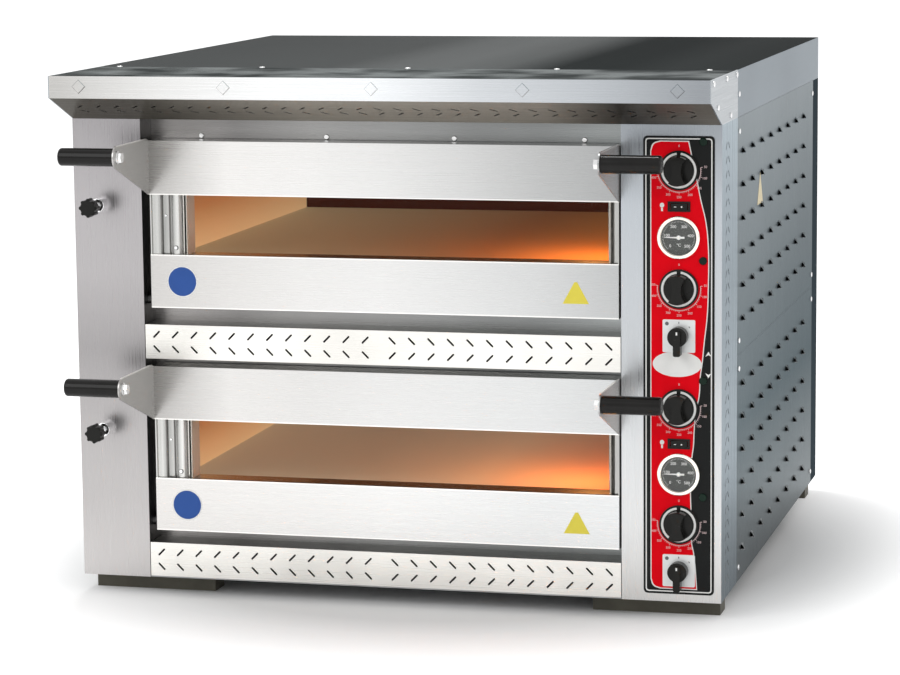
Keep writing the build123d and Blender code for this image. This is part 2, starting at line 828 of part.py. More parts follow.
def casing_screws():
    right = [(half, y, z) for y, z in side_screws]
    left = [(-half, y, z) for y, z in side_screws]
    rear = [(x, body_depth, z) for x, z in rear_screws]
    top = [(x, y, body_top) for x, y in hood_rivets]
    screws = screws_at(right, "+X") + screws_at(left, "-X") + screws_at(rear, "+Y") + screws_at(top, "+Z")
    return group(screws + screws_at(header_screws, "-Y"))


def terminal_block():
    """Supply terminals on the base tray, in front of the cable gland."""
    floor = foot_height + sheet
    w, d, h = terminal_size
    x0 = half - gland_place[0] - w / 2
    y0 = body_depth - terminal_gap - d
    base = block((x0, x0 + w), (y0, y0 + d), (floor, floor + h))
    for i in range(5):
        x = x0 + 6 + i * 15
        base -= block((x, x + 8), (y0 + 4, y0 + 14), (floor + h / 2, floor + h + 1))
    return base


def cable_gland():
    x, z = half - gland_place[0], gland_place[1]
    back = body_depth
    hexagon = Plane(origin=(x, back, z), x_dir=(1, 0, 0), z_dir=(0, 1, 0)) * RegularPolygon(14, 6)
    body = extrude(hexagon, amount=8) + rod(gland_thread, (x, back - 12, z), 12)
    cap = rod(11.5, (x, back + 8, z), 12)
    body += fillet(cap.edges().filter_by(GeomType.CIRCLE).sort_by(Axis.Y)[-1], 2)
    nut = Plane(origin=(x, back - sheet, z), x_dir=(1, 0, 0), z_dir=(0, -1, 0)) * RegularPolygon(14, 6)
    body += extrude(nut, amount=5)
    return body - rod(gland_bore, (x, back - 20, z), 50)


# ---- doors ----
ear_shift = band               # an ear lies outside the door's end by its own thickness


def grip_axis():
    """Y and Z of the lower door's grips."""
    return door_front - handle_reach, door_base + door_height - handle_drop


def tangent_point(start, centre, radius):
    """Where the lower tangent from a point touches a circle."""
    dy, dz = centre[0] - start[0], centre[1] - start[1]
    reach = hypot(dy, dz)
    k = radius / reach
    run = (1 - k * k) ** 0.5
    ty = (dy * run - dz * k) * run
    tz = (dz * run + dy * k) * run
    return start[0] + ty, start[1] + tz


def door_top_band(shift):
    """Front sheet above the window; its ends are bent forward as ears that hold the grips."""
    cy, cz = grip_axis()
    top = door_base + door_height
    low = door_base + bottom_band + window_height
    x0 = door_left - ear_shift
    x1 = door_right + ear_shift
    shape = block((x0, x1), (door_front, door_front + band), (low, top))
    corner = (door_front, low)
    crown = cz + ear_radius
    outline = [corner, (door_front + band, low), (door_front + band, top), (door_front - ear_rise, crown),
               (cy, crown), (cy, cz), tangent_point(corner, (cy, cz), ear_radius)]
    for x in (x0, x1 - band):
        shape += along_x(outline, x, x + band) + rod(ear_radius, (x, cy, cz), band, "X")
        shape -= rod(grip_bolt, (x - 1, cy, cz), band + 2, "X")
    return Pos(0, 0, shift) * shape


def door_bottom_band(shift):
    low = door_base
    plate = block((door_left, door_right), (door_front, door_front + band), (low, low + bottom_band))
    return Pos(0, 0, shift) * plate


def door_pan(shift):
    """Folded inner shell of a door, with the stiles beside the window and the hinge bushes."""
    low, high = door_base, door_base + door_height
    front, back = door_front + band, door_back
    win_low = low + bottom_band
    win_high = win_low + window_height
    win = (window_left, window_right)
    shell = block((door_left, door_right), (front, back), (low, high))
    shell -= block((door_left + sheet, door_right - sheet), (front - 1, back - sheet),
                   (low + sheet, high - sheet))
    rim_front = front + glass + 0.3
    rim = block((win[0] - sheet, win[1] + sheet), (rim_front, back), (win_low - sheet, win_high + sheet))
    shell += rim
    shell -= block(win, (0, 100), (win_low, win_high))
    # left stile: outer strip, groove, inner strip, rounded bead and edge
    left = door_left + sheet
    edge = window_left - glass_lap - 0.5
    path = [(left, front + 3), (left + 13, front + 3), (left + 13, front + 10), (left + 16, front + 10),
            (left + 16, front + 7), (left + 24, front + 7), (left + 24, front + 11), (edge, front + 11)]
    stile = along_z(folded(path, sheet), low + sheet, high - sheet)
    bead = rod(8.5, (left + 35, front + 11.5, low + sheet), door_height - 2 * sheet, "Z")
    bead &= block((left, edge), (front, front + 11.5), (low, high))
    right = door_right - sheet
    stile_right = block((win[1] + glass_lap + 0.5, right), (front + 6, front + 6 + sheet),
                        (low + sheet, high - sheet))
    shell += stile + bead + stile_right
    for x, side in ((door_left, 1), (door_right, -1)):
        a = x if side > 0 else x - sheet - bush_length
        shell += rod(hinge_pin + bush_wall, (a, hinge_depth, low + hinge_lift), sheet + bush_length, "X")
        shell -= rod(hinge_pin + running, (a - 5, hinge_depth, low + hinge_lift),
                     sheet + bush_length + 10, "X")
    return Pos(0, 0, shift) * shell


def door_glass(shift):
    low = door_base + bottom_band
    x = (window_left - glass_lap, window_right + glass_lap)
    y = (door_front + band + 0.1, door_front + band + 0.1 + glass)
    pane = block(x, y, (low - glass_lap, low + window_height + glass_lap))
    return Pos(0, 0, shift) * pane


def door_insulation(shift):
    """Mineral wool above and below the window."""
    low, high = door_base, door_base + door_height
    win_low = low + bottom_band - sheet
    win_high = low + bottom_band + window_height + sheet
    x = (door_left + sheet + 18, door_right - sheet - 18)
    y = (door_front + band + glass + 12, door_back - sheet)
    fills = [block(x, y, (low + sheet, win_low)), block(x, y, (win_high, high - sheet))]
    return Pos(0, 0, shift) * group(fills)


def door_grips(shift):
    y, z = grip_axis()
    grips = []
    for x, side in ((door_left - ear_shift, -1), (door_right + ear_shift, 1)):
        start = x if side > 0 else x - grip_length
        grip = rod(grip_radius, (start, y, z), grip_length, "X")
        ends = grip.edges().filter_by(GeomType.CIRCLE).sort_by(Axis.X)
        far = ends[-1] if side > 0 else ends[0]
        near = ends[0] if side > 0 else ends[-1]
        grip = fillet(far, 4)
        grip = chamfer(grip.edges().filter_by(GeomType.CIRCLE).sort_by(Axis.X)[0 if side > 0 else -1], 1)
        bore = rod(grip_bolt, (x if side > 0 else x - 60, y, z), 60, "X")
        grips.append(grip - bore)
    return Pos(0, 0, shift) * group(grips)


def door_bolts(shift):
    """Handle bolts: hexagon head and washer inside the ear, shank in the grip."""
    y, z = grip_axis()
    bolts = []
    for x, side in ((door_left, -1), (door_right, 1)):
        washer = rod(9, (x if side < 0 else x - 1.5, y, z), 1.5, "X")
        base = x + 1.5 if side < 0 else x - 1.5
        plane = Plane(origin=(base, y, z), x_dir=(0, 1, 0), z_dir=(-side, 0, 0))
        head = extrude(plane * RegularPolygon(7.5, 6), amount=6)
        length = 58 + band
        shank = rod(grip_bolt, (x if side > 0 else x - length, y, z), length, "X")
        bolts.append(washer + head + shank)
    return Pos(0, 0, shift) * group(bolts)


# ---- knobs, rockers, needles, dampers ----
def thermostat_knob(z):
    front = -panel_sheet - 0.5
    knob = rod(knob_skirt, (control_x, front - 3, z), 3)
    grip = rod(knob_grip, (control_x, front - knob_depth, z), knob_depth - 2)
    grip = fillet(grip.edges().sort_by(Axis.Y)[0], 2)
    # finger bar across the face, with a hollow each side
    for side in (-1, 1):
        dish = rod(26, (control_x + side * 32, front - knob_depth - 1, z), knob_depth - 6)
        grip -= dish
    knob += grip
    return knob - rod(spindle + running, (control_x, -spindle_length - clear, z), spindle_length + 5)


def cam_switch_knob(z):
    front = -panel_sheet - 2 - 0.5
    depth = 18
    knob = rod(cam_knob, (control_x, front - depth + 4, z), depth - 4)
    lever = block((control_x - 5, control_x + 5), (front - depth, front - 4), (z - cam_lever, z + 9))
    lever = fillet(lever.edges().filter_by(Axis.Y), 2.5)
    knob += lever
    bore_depth = spindle_length - 0.5
    return knob - rod(spindle + running, (control_x, front - bore_depth - clear, z), bore_depth + 5)


def rocker_paddle(z):
    """Rocking key; its ends are arcs about the pivot, its face two planes."""
    r = rocker_radius
    a = radians(rocker_tilt)
    cy = rocker_pivot
    body = rod(r, (control_x, cy, z - 4.4), 8.8, "Z")
    ridge = cy - 4.2
    keep = along_z([(control_x, ridge), (control_x + r + 2, ridge - (r + 2) * sin(a) * 0.2),
                    (control_x + r + 2, cy + 5), (control_x - r - 2, cy + 5),
                    (control_x - r - 2, ridge - (r + 2) * sin(a) * 2.2)], z - 4.4, z + 4.4)
    body &= keep
    for start in (z + 4.4, z - 5.1):
        body += rod(rocker_pin, (control_x, cy, start), 0.7, "Z")
    return body


def thermometer_needle(z):
    y = -panel_sheet - 4.2
    hub = tube(3, 1 + running, (control_x, y, z), 0.9)
    blade = along_y([(control_x + 8, z - 1.4), (control_x + 8, z + 1.4), (control_x + 1.2, z + 1.2),
                     (control_x - 20, z + 0.35), (control_x - 20, z - 0.35), (control_x + 1.2, z - 1.2)],
                    y, y + 0.6)
    hole = rod(1 + running, (control_x, y - 1, z), 4)
    return hub + blade - hole


def damper_knob_piece(z):
    """Star grip with eight lobes."""
    y = -damper_stand - damper_knob_depth
    core = rod(damper_knob - 2.5, (damper_x, y, z), damper_knob_depth)
    for i in range(8):
        a = radians(i * 45)
        core += rod(2.6, (damper_x + (damper_knob - 2.6) * cos(a), y + 1, z + (damper_knob - 2.6) * sin(a)),
                    damper_knob_depth - 2)
    core += rod(7, (damper_x, y + damper_knob_depth - 1, z), 6)
    return core - rod(damper_rod, (damper_x, y + 5, z), 40)


def damper_rod_piece(z):
    """Pull rod with the valve disc that closes the steam pipe from inside the box."""
    start = -damper_stand - damper_knob_depth + 5
    disc = 3
    shaft = rod(damper_rod, (damper_x, start, z), damper_end - start)
    return shaft + rod(flue_radius + 3, (damper_x, damper_end - disc, z), disc)


def main():
    os.makedirs("parts", exist_ok=True)
    save("base_tray", base_tray())
    save("foot_blocks", foot_blocks())
    save("front_column_left", front_column_left())
    save("front_column_right", front_column_right())
    save("hood", hood())
    save("hood_cheeks", hood_cheeks())
    save("top_panel", top_panel())
    save("side_panels_upper", side_panels(side_seam, column_top))
    save("side_panels_lower", side_panels(foot_height, side_seam))
    save("rear_panel", rear_panel())
    save("vent_strips", vent_strips())
    save("chamber_frames", chamber_frames())
    save("chamber_liners", chamber_liners())
    save("chamber_insulation", chamber_insulation())
    save("deck_shelves", deck_shelves())
    save("hearth_stones", hearth_stones())
    save("heating_elements", heating_elements())
    save("flue_ducts", flue_ducts())
    save("door_seals", door_seals())
    save("hinge_pins", hinge_pins())
    save("damper_sleeves", damper_sleeves())
    save("chamber_lamps", chamber_lamps())
    save("control_panel", control_panel())
    save("thermostats", thermostats())
    save("cam_switches", cam_switches())
    save("rocker_housings", rocker_housings())
    save("thermometer_cases", thermometer_cases())
    save("thermometer_glasses", thermometer_glasses())
    save("pilot_lamps", pilot_lamps())
    save("casing_screws", casing_screws())
    save("terminal_block", terminal_block())
    save("cable_gland", cable_gland())
    for deck, shift, lift in zip(deck_names, deck_shifts, control_shifts):
        save(f"{deck}_door_top_band", door_top_band(shift))
        save(f"{deck}_door_bottom_band", door_bottom_band(shift))
        save(f"{deck}_door_pan", door_pan(shift))
        save(f"{deck}_door_glass", door_glass(shift))
        save(f"{deck}_door_insulation", door_insulation(shift))
        save(f"{deck}_door_grips", door_grips(shift))
        save(f"{deck}_door_bolts", door_bolts(shift))
        base = cam_level + lift
        save(f"{deck}_top_thermostat_knob", thermostat_knob(base + top_thermostat))
        save(f"{deck}_floor_thermostat_knob", thermostat_knob(base + floor_thermostat))
        save(f"{deck}_cam_switch_knob", cam_switch_knob(base))
        save(f"{deck}_lamp_rocker", rocker_paddle(base + rocker))
        save(f"{deck}_thermometer_needle", thermometer_needle(base + thermometer))
        level = hearth_level + damper_level + shift
        save(f"{deck}_damper_knob", damper_knob_piece(level))
        save(f"{deck}_damper_rod", damper_rod_piece(level))
    print("front plane at y =", front_y, "total depth", total_depth)


main()
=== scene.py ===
import bpy
import bmesh
import json
from math import cos, sin, radians
from mathutils import Matrix, Vector


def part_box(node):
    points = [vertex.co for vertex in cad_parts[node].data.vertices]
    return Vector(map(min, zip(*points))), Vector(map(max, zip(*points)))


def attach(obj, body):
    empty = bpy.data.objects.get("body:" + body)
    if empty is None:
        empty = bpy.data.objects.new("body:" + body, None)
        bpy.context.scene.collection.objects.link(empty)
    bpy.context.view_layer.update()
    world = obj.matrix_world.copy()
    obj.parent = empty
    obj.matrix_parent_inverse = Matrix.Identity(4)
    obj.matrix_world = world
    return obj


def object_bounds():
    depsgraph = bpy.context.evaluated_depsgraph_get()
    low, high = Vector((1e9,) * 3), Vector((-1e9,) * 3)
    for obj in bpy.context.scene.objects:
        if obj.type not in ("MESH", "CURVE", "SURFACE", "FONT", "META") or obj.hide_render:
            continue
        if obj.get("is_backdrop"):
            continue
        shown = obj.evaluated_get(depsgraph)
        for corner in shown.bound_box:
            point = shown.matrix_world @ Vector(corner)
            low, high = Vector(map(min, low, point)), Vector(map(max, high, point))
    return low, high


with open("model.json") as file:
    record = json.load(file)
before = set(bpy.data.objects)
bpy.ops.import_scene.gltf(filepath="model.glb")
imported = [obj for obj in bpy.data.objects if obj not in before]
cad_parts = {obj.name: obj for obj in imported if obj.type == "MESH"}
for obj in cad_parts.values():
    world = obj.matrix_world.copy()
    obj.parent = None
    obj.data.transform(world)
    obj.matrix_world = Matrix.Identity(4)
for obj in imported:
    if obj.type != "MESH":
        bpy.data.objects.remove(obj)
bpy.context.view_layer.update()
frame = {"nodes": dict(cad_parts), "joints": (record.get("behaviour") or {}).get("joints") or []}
scene = bpy.context.scene
joints = {j["name"]: Vector(j["pos_m"]) for j in frame["joints"]}
decks = ("lower", "upper")
print("frame loaded:", len(frame["nodes"]), "nodes")

# camera, light and floor; angles in degrees, lengths in metres, power in watts
camera = {"place": (1.1687, -4.6591, 1.0364), "yaw": 14.34, "pitch": 8.46, "roll": -0.58, "lens": 127.6}
light = {"sky": 0.62, "keyPower": 46, "keySize": 2.6, "keyPlace": (-2.0, -3.6, 2.6),
         "fillPower": 16, "fillSize": 2.5, "fillPlace": (3.2, -2.0, 2.2),
         "topPower": 52, "topSize": 0.9, "topPlace": (-0.35, 0.75, 3.5), "aim": (0, 0, 0.35)}
# lift makes the floor white from the far distance on, and less so by the oven, where its shadow lies
floorLook = {"size": 30, "drop": 0.0002, "colour": 0.82, "rough": 0.9, "lift": (0.0, 0.62),
             "liftFrom": (0.5, 0.80)}

camData = bpy.data.cameras.new("camera")
camData.lens = camera["lens"]
camData.sensor_width = 36
camData.clip_end = 100
camObject = bpy.data.objects.new("camera", camData)
camTurn = (Matrix.Rotation(radians(camera["yaw"]), 4, "Z")
           @ Matrix.Rotation(radians(90 - camera["pitch"]), 4, "X")
           @ Matrix.Rotation(radians(camera["roll"]), 4, "Z"))
camObject.matrix_world = Matrix.Translation(camera["place"]) @ camTurn
scene.collection.objects.link(camObject)
scene.camera = camObject
scene.view_settings.view_transform = "Standard"


def seenOrPlain(tree, plain, seen):
    # one strength for diffuse rays, another (a number or a socket) for the camera, mirrors and glass
    path = tree.nodes.new("ShaderNodeLightPath")
    mask = path.outputs["Is Camera Ray"]
    for name in ("Is Glossy Ray", "Is Transmission Ray"):
        either = tree.nodes.new("ShaderNodeMath")
        either.operation = "MAXIMUM"
        tree.links.new(mask, either.inputs[0])
        tree.links.new(path.outputs[name], either.inputs[1])
        mask = either.outputs[0]
    mix = tree.nodes.new("ShaderNodeMix")
    mix.data_type = "FLOAT"
    mix.inputs["A"].default_value = plain
    if isinstance(seen, float):
        mix.inputs["B"].default_value = seen
    else:
        tree.links.new(seen, mix.inputs["B"])
    tree.links.new(mask, mix.inputs["Factor"])
    return mix.outputs["Result"]


world = bpy.data.worlds.new("studio")
world.use_nodes = True
scene.world = world
sky = world.node_tree.nodes["Background"]
sky.inputs["Color"].default_value = (1, 1, 1, 1)
world.node_tree.links.new(seenOrPlain(world.node_tree, light["sky"], 1.0), sky.inputs["Strength"])

for name in ("key", "fill", "top"):
    data = bpy.data.lights.new(name, "AREA")
    data.energy = light[f"{name}Power"]
    data.size = light[f"{name}Size"]
    lamp = bpy.data.objects.new(name, data)
    place = Vector(light[f"{name}Place"])
    aim = Vector(light["aim"]) - place
    lamp.matrix_world = Matrix.Translation(place) @ aim.to_track_quat("-Z", "Y").to_matrix().to_4x4()
    scene.collection.objects.link(lamp)

bm = bmesh.new()
bmesh.ops.create_grid(bm, x_segments=2, y_segments=2, size=floorLook["size"])
floorMesh = bpy.data.meshes.new("floor")
bm.to_mesh(floorMesh)
bm.free()
floor = bpy.data.objects.new("floor", floorMesh)
floor.location = (0, 0, -floorLook["drop"])
scene.collection.objects.link(floor)
floorMaterial = bpy.data.materials.new("floorWhite")
floorMaterial.use_nodes = True
floorShader = floorMaterial.node_tree.nodes["Principled BSDF"]
floorShader.inputs["Base Color"].default_value = (*[floorLook["colour"]] * 3, 1)
floorShader.inputs["Roughness"].default_value = floorLook["rough"]
floorShader.inputs["Emission Color"].default_value = (1, 1, 1, 1)
floorTree = floorMaterial.node_tree
floorPlace = floorTree.nodes.new("ShaderNodeTexCoord")
floorReach = floorTree.nodes.new("ShaderNodeVectorMath")
floorReach.operation = "LENGTH"
floorTree.links.new(floorPlace.outputs["Object"], floorReach.inputs[0])
floorLift = floorTree.nodes.new("ShaderNodeMapRange")
liftRange = (*floorLook["liftFrom"], *floorLook["lift"])
for label, value in zip(("From Min", "From Max", "To Min", "To Max"), liftRange):
    floorLift.inputs[label].default_value = value
floorTree.links.new(floorReach.outputs["Value"], floorLift.inputs["Value"])
floorSeen = seenOrPlain(floorTree, 0.0, floorLift.outputs["Result"])
floorTree.links.new(floorSeen, floorShader.inputs["Emission Strength"])
floorMesh.materials.append(floorMaterial)
floor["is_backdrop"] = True
print("camera, lights and floor set")


# shared shader groups
def groupOf(name, inputs, outputs):
    tree = bpy.data.node_groups.new(name, "ShaderNodeTree")
    for label, kind, value in inputs:
        socket = tree.interface.new_socket(label, in_out="INPUT", socket_type=kind)
        if value is not None:
            socket.default_value = value
    for label, kind in outputs:
        tree.interface.new_socket(label, in_out="OUTPUT", socket_type=kind)
    return tree, tree.nodes.new("NodeGroupInput"), tree.nodes.new("NodeGroupOutput")


def mathNode(tree, operation, a, b=None, clamp=False):
    node = tree.nodes.new("ShaderNodeMath")
    node.operation = operation
    node.use_clamp = clamp
    for i, value in enumerate((a, b)):
        if isinstance(value, (int, float)):
            node.inputs[i].default_value = value
        elif value is not None:
            tree.links.new(value, node.inputs[i])
    return node.outputs[0]


def noiseIn(tree, vector, scale, detail, roughness=0.5):
    node = tree.nodes.new("ShaderNodeTexNoise")
    node.inputs["Detail"].default_value = detail
    node.inputs["Roughness"].default_value = roughness
    tree.links.new(vector, node.inputs["Vector"])
    if isinstance(scale, (int, float)):
        node.inputs["Scale"].default_value = scale
    else:
        tree.links.new(scale, node.inputs["Scale"])
    return node.outputs["Fac"]


def brushedGroup():
    # long fine scratches along one direction, plus broad cloudy patches
    tree, start, end = groupOf("brushedGrain",
                               [("Place", "NodeSocketVector", None),
                                ("Stretch", "NodeSocketVector", (1, 1, 1)),
                                ("Cloud size", "NodeSocketFloat", 3.0)],
                               [("Grain", "NodeSocketFloat"), ("Cloud", "NodeSocketFloat")])
    scaled = tree.nodes.new("ShaderNodeVectorMath")
    scaled.operation = "MULTIPLY"
    tree.links.new(start.outputs["Place"], scaled.inputs[0])
    tree.links.new(start.outputs["Stretch"], scaled.inputs[1])
    tree.links.new(noiseIn(tree, scaled.outputs[0], 1.0, 3.0, 0.65), end.inputs["Grain"])
    cloud = noiseIn(tree, start.outputs["Place"], start.outputs["Cloud size"], 2.0)
    tree.links.new(cloud, end.inputs["Cloud"])
    return tree


def edgeHighlightGroup():
    # 1 at two parallel edges, falling to 0 a width away, measured along an axis of the Place vector; it
    # places painted highlights along edges
    tree, start, end = groupOf("paintedEdgeHighlight",
                               [("Place", "NodeSocketVector", None), ("Axis", "NodeSocketVector", (0, 0, 1)),
                                ("Low", "NodeSocketFloat", 0.0), ("High", "NodeSocketFloat", 1.0),
                                ("Width", "NodeSocketFloat", 0.0015)],
                               [("Rim", "NodeSocketFloat")])
    dot = tree.nodes.new("ShaderNodeVectorMath")
    dot.operation = "DOT_PRODUCT"
    tree.links.new(start.outputs["Place"], dot.inputs[0])
    tree.links.new(start.outputs["Axis"], dot.inputs[1])
    along = dot.outputs["Value"]
    below = mathNode(tree, "SUBTRACT", along, start.outputs["Low"])
    above = mathNode(tree, "SUBTRACT", start.outputs["High"], along)
    nearest = mathNode(tree, "MINIMUM", below, above)
    share = mathNode(tree, "DIVIDE", nearest, start.outputs["Width"], clamp=True)
    tree.links.new(mathNode(tree, "SUBTRACT", 1.0, share, clamp=True), end.inputs["Rim"])
    return tree


def speckleGroup():
    # fine pores and darker blotches of moulded plastic, stone and coated steel
    tree, start, end = groupOf("speckle",
                               [("Place", "NodeSocketVector", None), ("Pores", "NodeSocketFloat", 900.0),
                                ("Blotches", "NodeSocketFloat", 12.0)],
                               [("Pore", "NodeSocketFloat"), ("Blotch", "NodeSocketFloat")])
    for size, detail, mask in (("Pores", 2.0, "Pore"), ("Blotches", 4.0, "Blotch")):
        tree.links.new(noiseIn(tree, start.outputs["Place"], start.outputs[size], detail), end.inputs[mask])
    return tree


shared = {"brushed": brushedGroup(), "rim": edgeHighlightGroup(), "speckle": speckleGroup()}


class Finish:
    # one material: its node tree and the Principled BSDF in it
    def __init__(self, name):
        self.material = bpy.data.materials.new(name)
        self.material.use_nodes = True
        self.tree = self.material.node_tree
        self.shader = self.tree.nodes["Principled BSDF"]
        coords = self.tree.nodes.new("ShaderNodeTexCoord")
        self.place = coords.outputs["Object"]
        self.axes = self.split(self.place)
        self.facing = self.split(coords.outputs["Normal"])

    def split(self, vector):
        node = self.tree.nodes.new("ShaderNodeSeparateXYZ")
        self.tree.links.new(vector, node.inputs[0])
        return node.outputs

    def group(self, key, **values):
        node = self.tree.nodes.new("ShaderNodeGroup")
        node.node_tree = shared[key]
        self.tree.links.new(self.place, node.inputs["Place"])
        for label, value in values.items():
            node.inputs[label.replace("_", " ")].default_value = value
        return node

    def mixColour(self, factor, a, b, blend="MIX"):
        node = self.tree.nodes.new("ShaderNodeMix")
        node.data_type = "RGBA"
        node.blend_type = blend
        sockets = [s for s in node.inputs if s.type == "RGBA"]
        for socket, value in zip(sockets, (a, b)):
            if isinstance(value, tuple):
                socket.default_value = (*value, 1)
            else:
                self.tree.links.new(value, socket)
        if isinstance(factor, float):
            node.inputs["Factor"].default_value = factor
        else:
            self.tree.links.new(factor, node.inputs["Factor"])
        return [s for s in node.outputs if s.type == "RGBA"][0]

    def remap(self, value, low, high, toLow=0.0, toHigh=1.0):
        node = self.tree.nodes.new("ShaderNodeMapRange")
        node.inputs["From Min"].default_value = low
        node.inputs["From Max"].default_value = high
        node.inputs["To Min"].default_value = toLow
        node.inputs["To Max"].default_value = toHigh
        self.tree.links.new(value, node.inputs["Value"])
        return node.outputs["Result"]

    def ramp(self, value, low, high, stops):
        # colours spread evenly between low and high
        node = self.tree.nodes.new("ShaderNodeValToRGB")
        elements = node.color_ramp.elements
        for i in range(1, len(stops) - 1):
            elements.new(i / (len(stops) - 1))
        for element, colour in zip(elements, stops):
            element.color = (*colour, 1)
        self.tree.links.new(self.remap(value, low, high), node.inputs["Fac"])
        return node.outputs["Color"]

    def grey(self, value):
        node = self.tree.nodes.new("ShaderNodeCombineColor")
        for socket in node.inputs:
            self.tree.links.new(value, socket)
        return node.outputs["Color"]

    def darken(self, colour, shade):
        # multiply by a grey mask
        return self.mixColour(1.0, colour, self.grey(shade), "MULTIPLY")

    def maths(self, operation, a, b=None, clamp=False):
        return mathNode(self.tree, operation, a, b, clamp)

    def set(self, **values):
        for label, value in values.items():
            socket = self.shader.inputs[label.replace("_", " ")]
            if isinstance(value, (int, float)):
                socket.default_value = value
            elif isinstance(value, tuple):
                socket.default_value = (*value, 1)
            else:
                self.tree.links.new(value, socket)

    def bump(self, height, strength, distance):
        node = self.tree.nodes.new("ShaderNodeBump")
        node.inputs["Strength"].default_value = strength
        node.inputs["Distance"].default_value = distance
        self.tree.links.new(height, node.inputs["Height"])
        self.tree.links.new(node.outputs["Normal"], self.shader.inputs["Normal"])


# how the brushed grain is stretched along each axis
alongX = (6, 900, 900)
alongY = (900, 6, 900)
alongZ = (900, 900, 6)
# the values that a noise mostly lies between, and the narrower range that shows its blotches
noiseRange = (0.3, 0.7)
blotchRange = (0.35, 0.65)
# how far a face's normal leans towards a side when it starts to take that side's tone, and when it has it all
sideLean = (0.45, 0.7)


def tinted(levels, first=(1.0, 0.985, 0.955), last=(0.94, 1.0, 1.07)):
    # greys, from warm at the first to cool at the last
    n = max(len(levels) - 1, 1)
    return [tuple(level * (a + (b - a) * i / n) for a, b in zip(first, last))
            for i, level in enumerate(levels)]


def steel(name, tones, grain, spread=None, faces=None, rough=(0.24, 0.36), clouds=(3.0, 0.1),
          rim=None, metallic=1.0, grazing=None, soft=None):
    # brushed stainless steel. tones: colours along spread (axis, low, high), or a single one; where they
    # change along a sheet, they are painted reflections, highlights and shade
    # clouds: their size, and how much they darken
    # faces: for "up", "down", "left" or "right", the tones and the spread of the faces that look that way:
    # painted light and shade that make those faces lighter or darker than the rest
    # soft: for such faces, how much less of a mirror they are
    f = Finish(name)
    pattern = f.group("brushed", Stretch=grain, Cloud_size=clouds[0])

    def toned(stops, run):
        if run is None:
            return stops[0]
        return f.ramp(f.axes[run[0]], run[1], run[2], stops)

    def looking(way):
        axis, sign = {"up": ("Z", 1), "down": ("Z", -1), "right": ("X", 1), "left": ("X", -1)}[way]
        return f.remap(f.facing[axis], *(sign * lean for lean in sideLean))

    colour = toned(tones, spread)
    for way, (stops, run) in (faces or {}).items():
        colour = f.mixColour(looking(way), colour, toned(stops, run))
    streak = 0.02                        # how much the grain darkens
    colour = f.darken(colour, f.remap(pattern.outputs["Cloud"], *noiseRange, 1 - clouds[1], 1.0))
    colour = f.darken(colour, f.remap(pattern.outputs["Grain"], *noiseRange, 1 - streak, 1.0))
    # rim: low edge, high edge, width and colour of a painted highlight along two edges
    if rim:
        low, high, width, tint = rim
        edge = f.group("rim", Low=low, High=high, Width=width)
        colour = f.mixColour(edge.outputs["Rim"], colour, tint)
    f.set(Base_Color=colour, Metallic=metallic,
          Roughness=f.remap(pattern.outputs["Grain"], *noiseRange, *rough))
    for way, share in (soft or {}).items():
        metallic = f.maths("SUBTRACT", metallic, f.maths("MULTIPLY", looking(way), share), True)
        f.set(Metallic=metallic, Specular_IOR_Level=0.0)
    if grazing:
        f.set(Specular_Tint=grazing)
    f.bump(pattern.outputs["Grain"], 0.05, 0.0003)
    return f


def plastic(name, colour, rough=0.4, pores=900.0, bumpHeight=0.25, specular=0.3):
    f = Finish(name)
    speckle = f.group("speckle", Pores=pores, Blotches=25.0)
    tone = f.remap(speckle.outputs["Blotch"], *blotchRange)
    f.set(Base_Color=f.mixColour(tone, colour, tuple(min(1, c * 1.3 + 0.002) for c in colour)),
          Roughness=f.remap(speckle.outputs["Blotch"], *noiseRange, rough - 0.05, rough + 0.08),
          Specular_IOR_Level=specular)
    f.bump(speckle.outputs["Pore"], bumpHeight, 0.0002)
    return f


def ink(name, colour, rough=0.45, specular=0.2):
    # printed colour, slightly uneven
    f = Finish(name)
    speckle = f.group("speckle", Pores=1500.0, Blotches=40.0)
    tone = f.remap(speckle.outputs["Blotch"], *blotchRange)
    f.set(Base_Color=f.mixColour(tone, colour, tuple(c * 0.94 for c in colour)),
          Roughness=f.remap(speckle.outputs["Pore"], *noiseRange, rough - 0.05, rough + 0.05),
          Specular_IOR_Level=specular)
    f.bump(speckle.outputs["Pore"], 0.08, 0.0001)
    return f


def mineral(name, light, dark, pores, blotches, rough=0.85, height=0.5):
    # stone, wool, braid and ceramic
    f = Finish(name)
    speckle = f.group("speckle", Pores=pores, Blotches=blotches)
    colour = f.mixColour(f.remap(speckle.outputs["Blotch"], 0.35, 0.68), dark, light)
    colour = f.darken(colour, f.remap(speckle.outputs["Pore"], 0.3, 0.6, 0.78, 1.0))
    f.set(Base_Color=colour, Specular_IOR_Level=0.2,
          Roughness=f.remap(speckle.outputs["Pore"], *noiseRange, rough - 0.08, rough + 0.05))
    f.bump(speckle.outputs["Pore"], height, 0.0006)
    return f


def clearGlass(name, tint, rough=0.02, ior=1.1):
    f = Finish(name)
    speckle = f.group("speckle", Pores=40.0, Blotches=5.0)
    tone = f.remap(speckle.outputs["Blotch"], *noiseRange)
    f.set(Base_Color=f.mixColour(tone, tint, tuple(c * 0.97 for c in tint)),
          Metallic=0.0, Transmission_Weight=1.0, IOR=ior,
          Roughness=f.remap(speckle.outputs["Pore"], 0.4, 0.7, rough, rough + 0.03))
    return f


print("shader groups ready")

# where the tones of a sheet are spread: axis, from, to, in metres
acrossCasing = ("X", -0.45, 0.45)
acrossLid = ("X", -0.46, 0.46)
acrossFrame = ("X", -0.35, 0.32)
acrossStrip = ("X", -0.36, 0.32)
upCasing = ("Z", 0.03, 0.684)
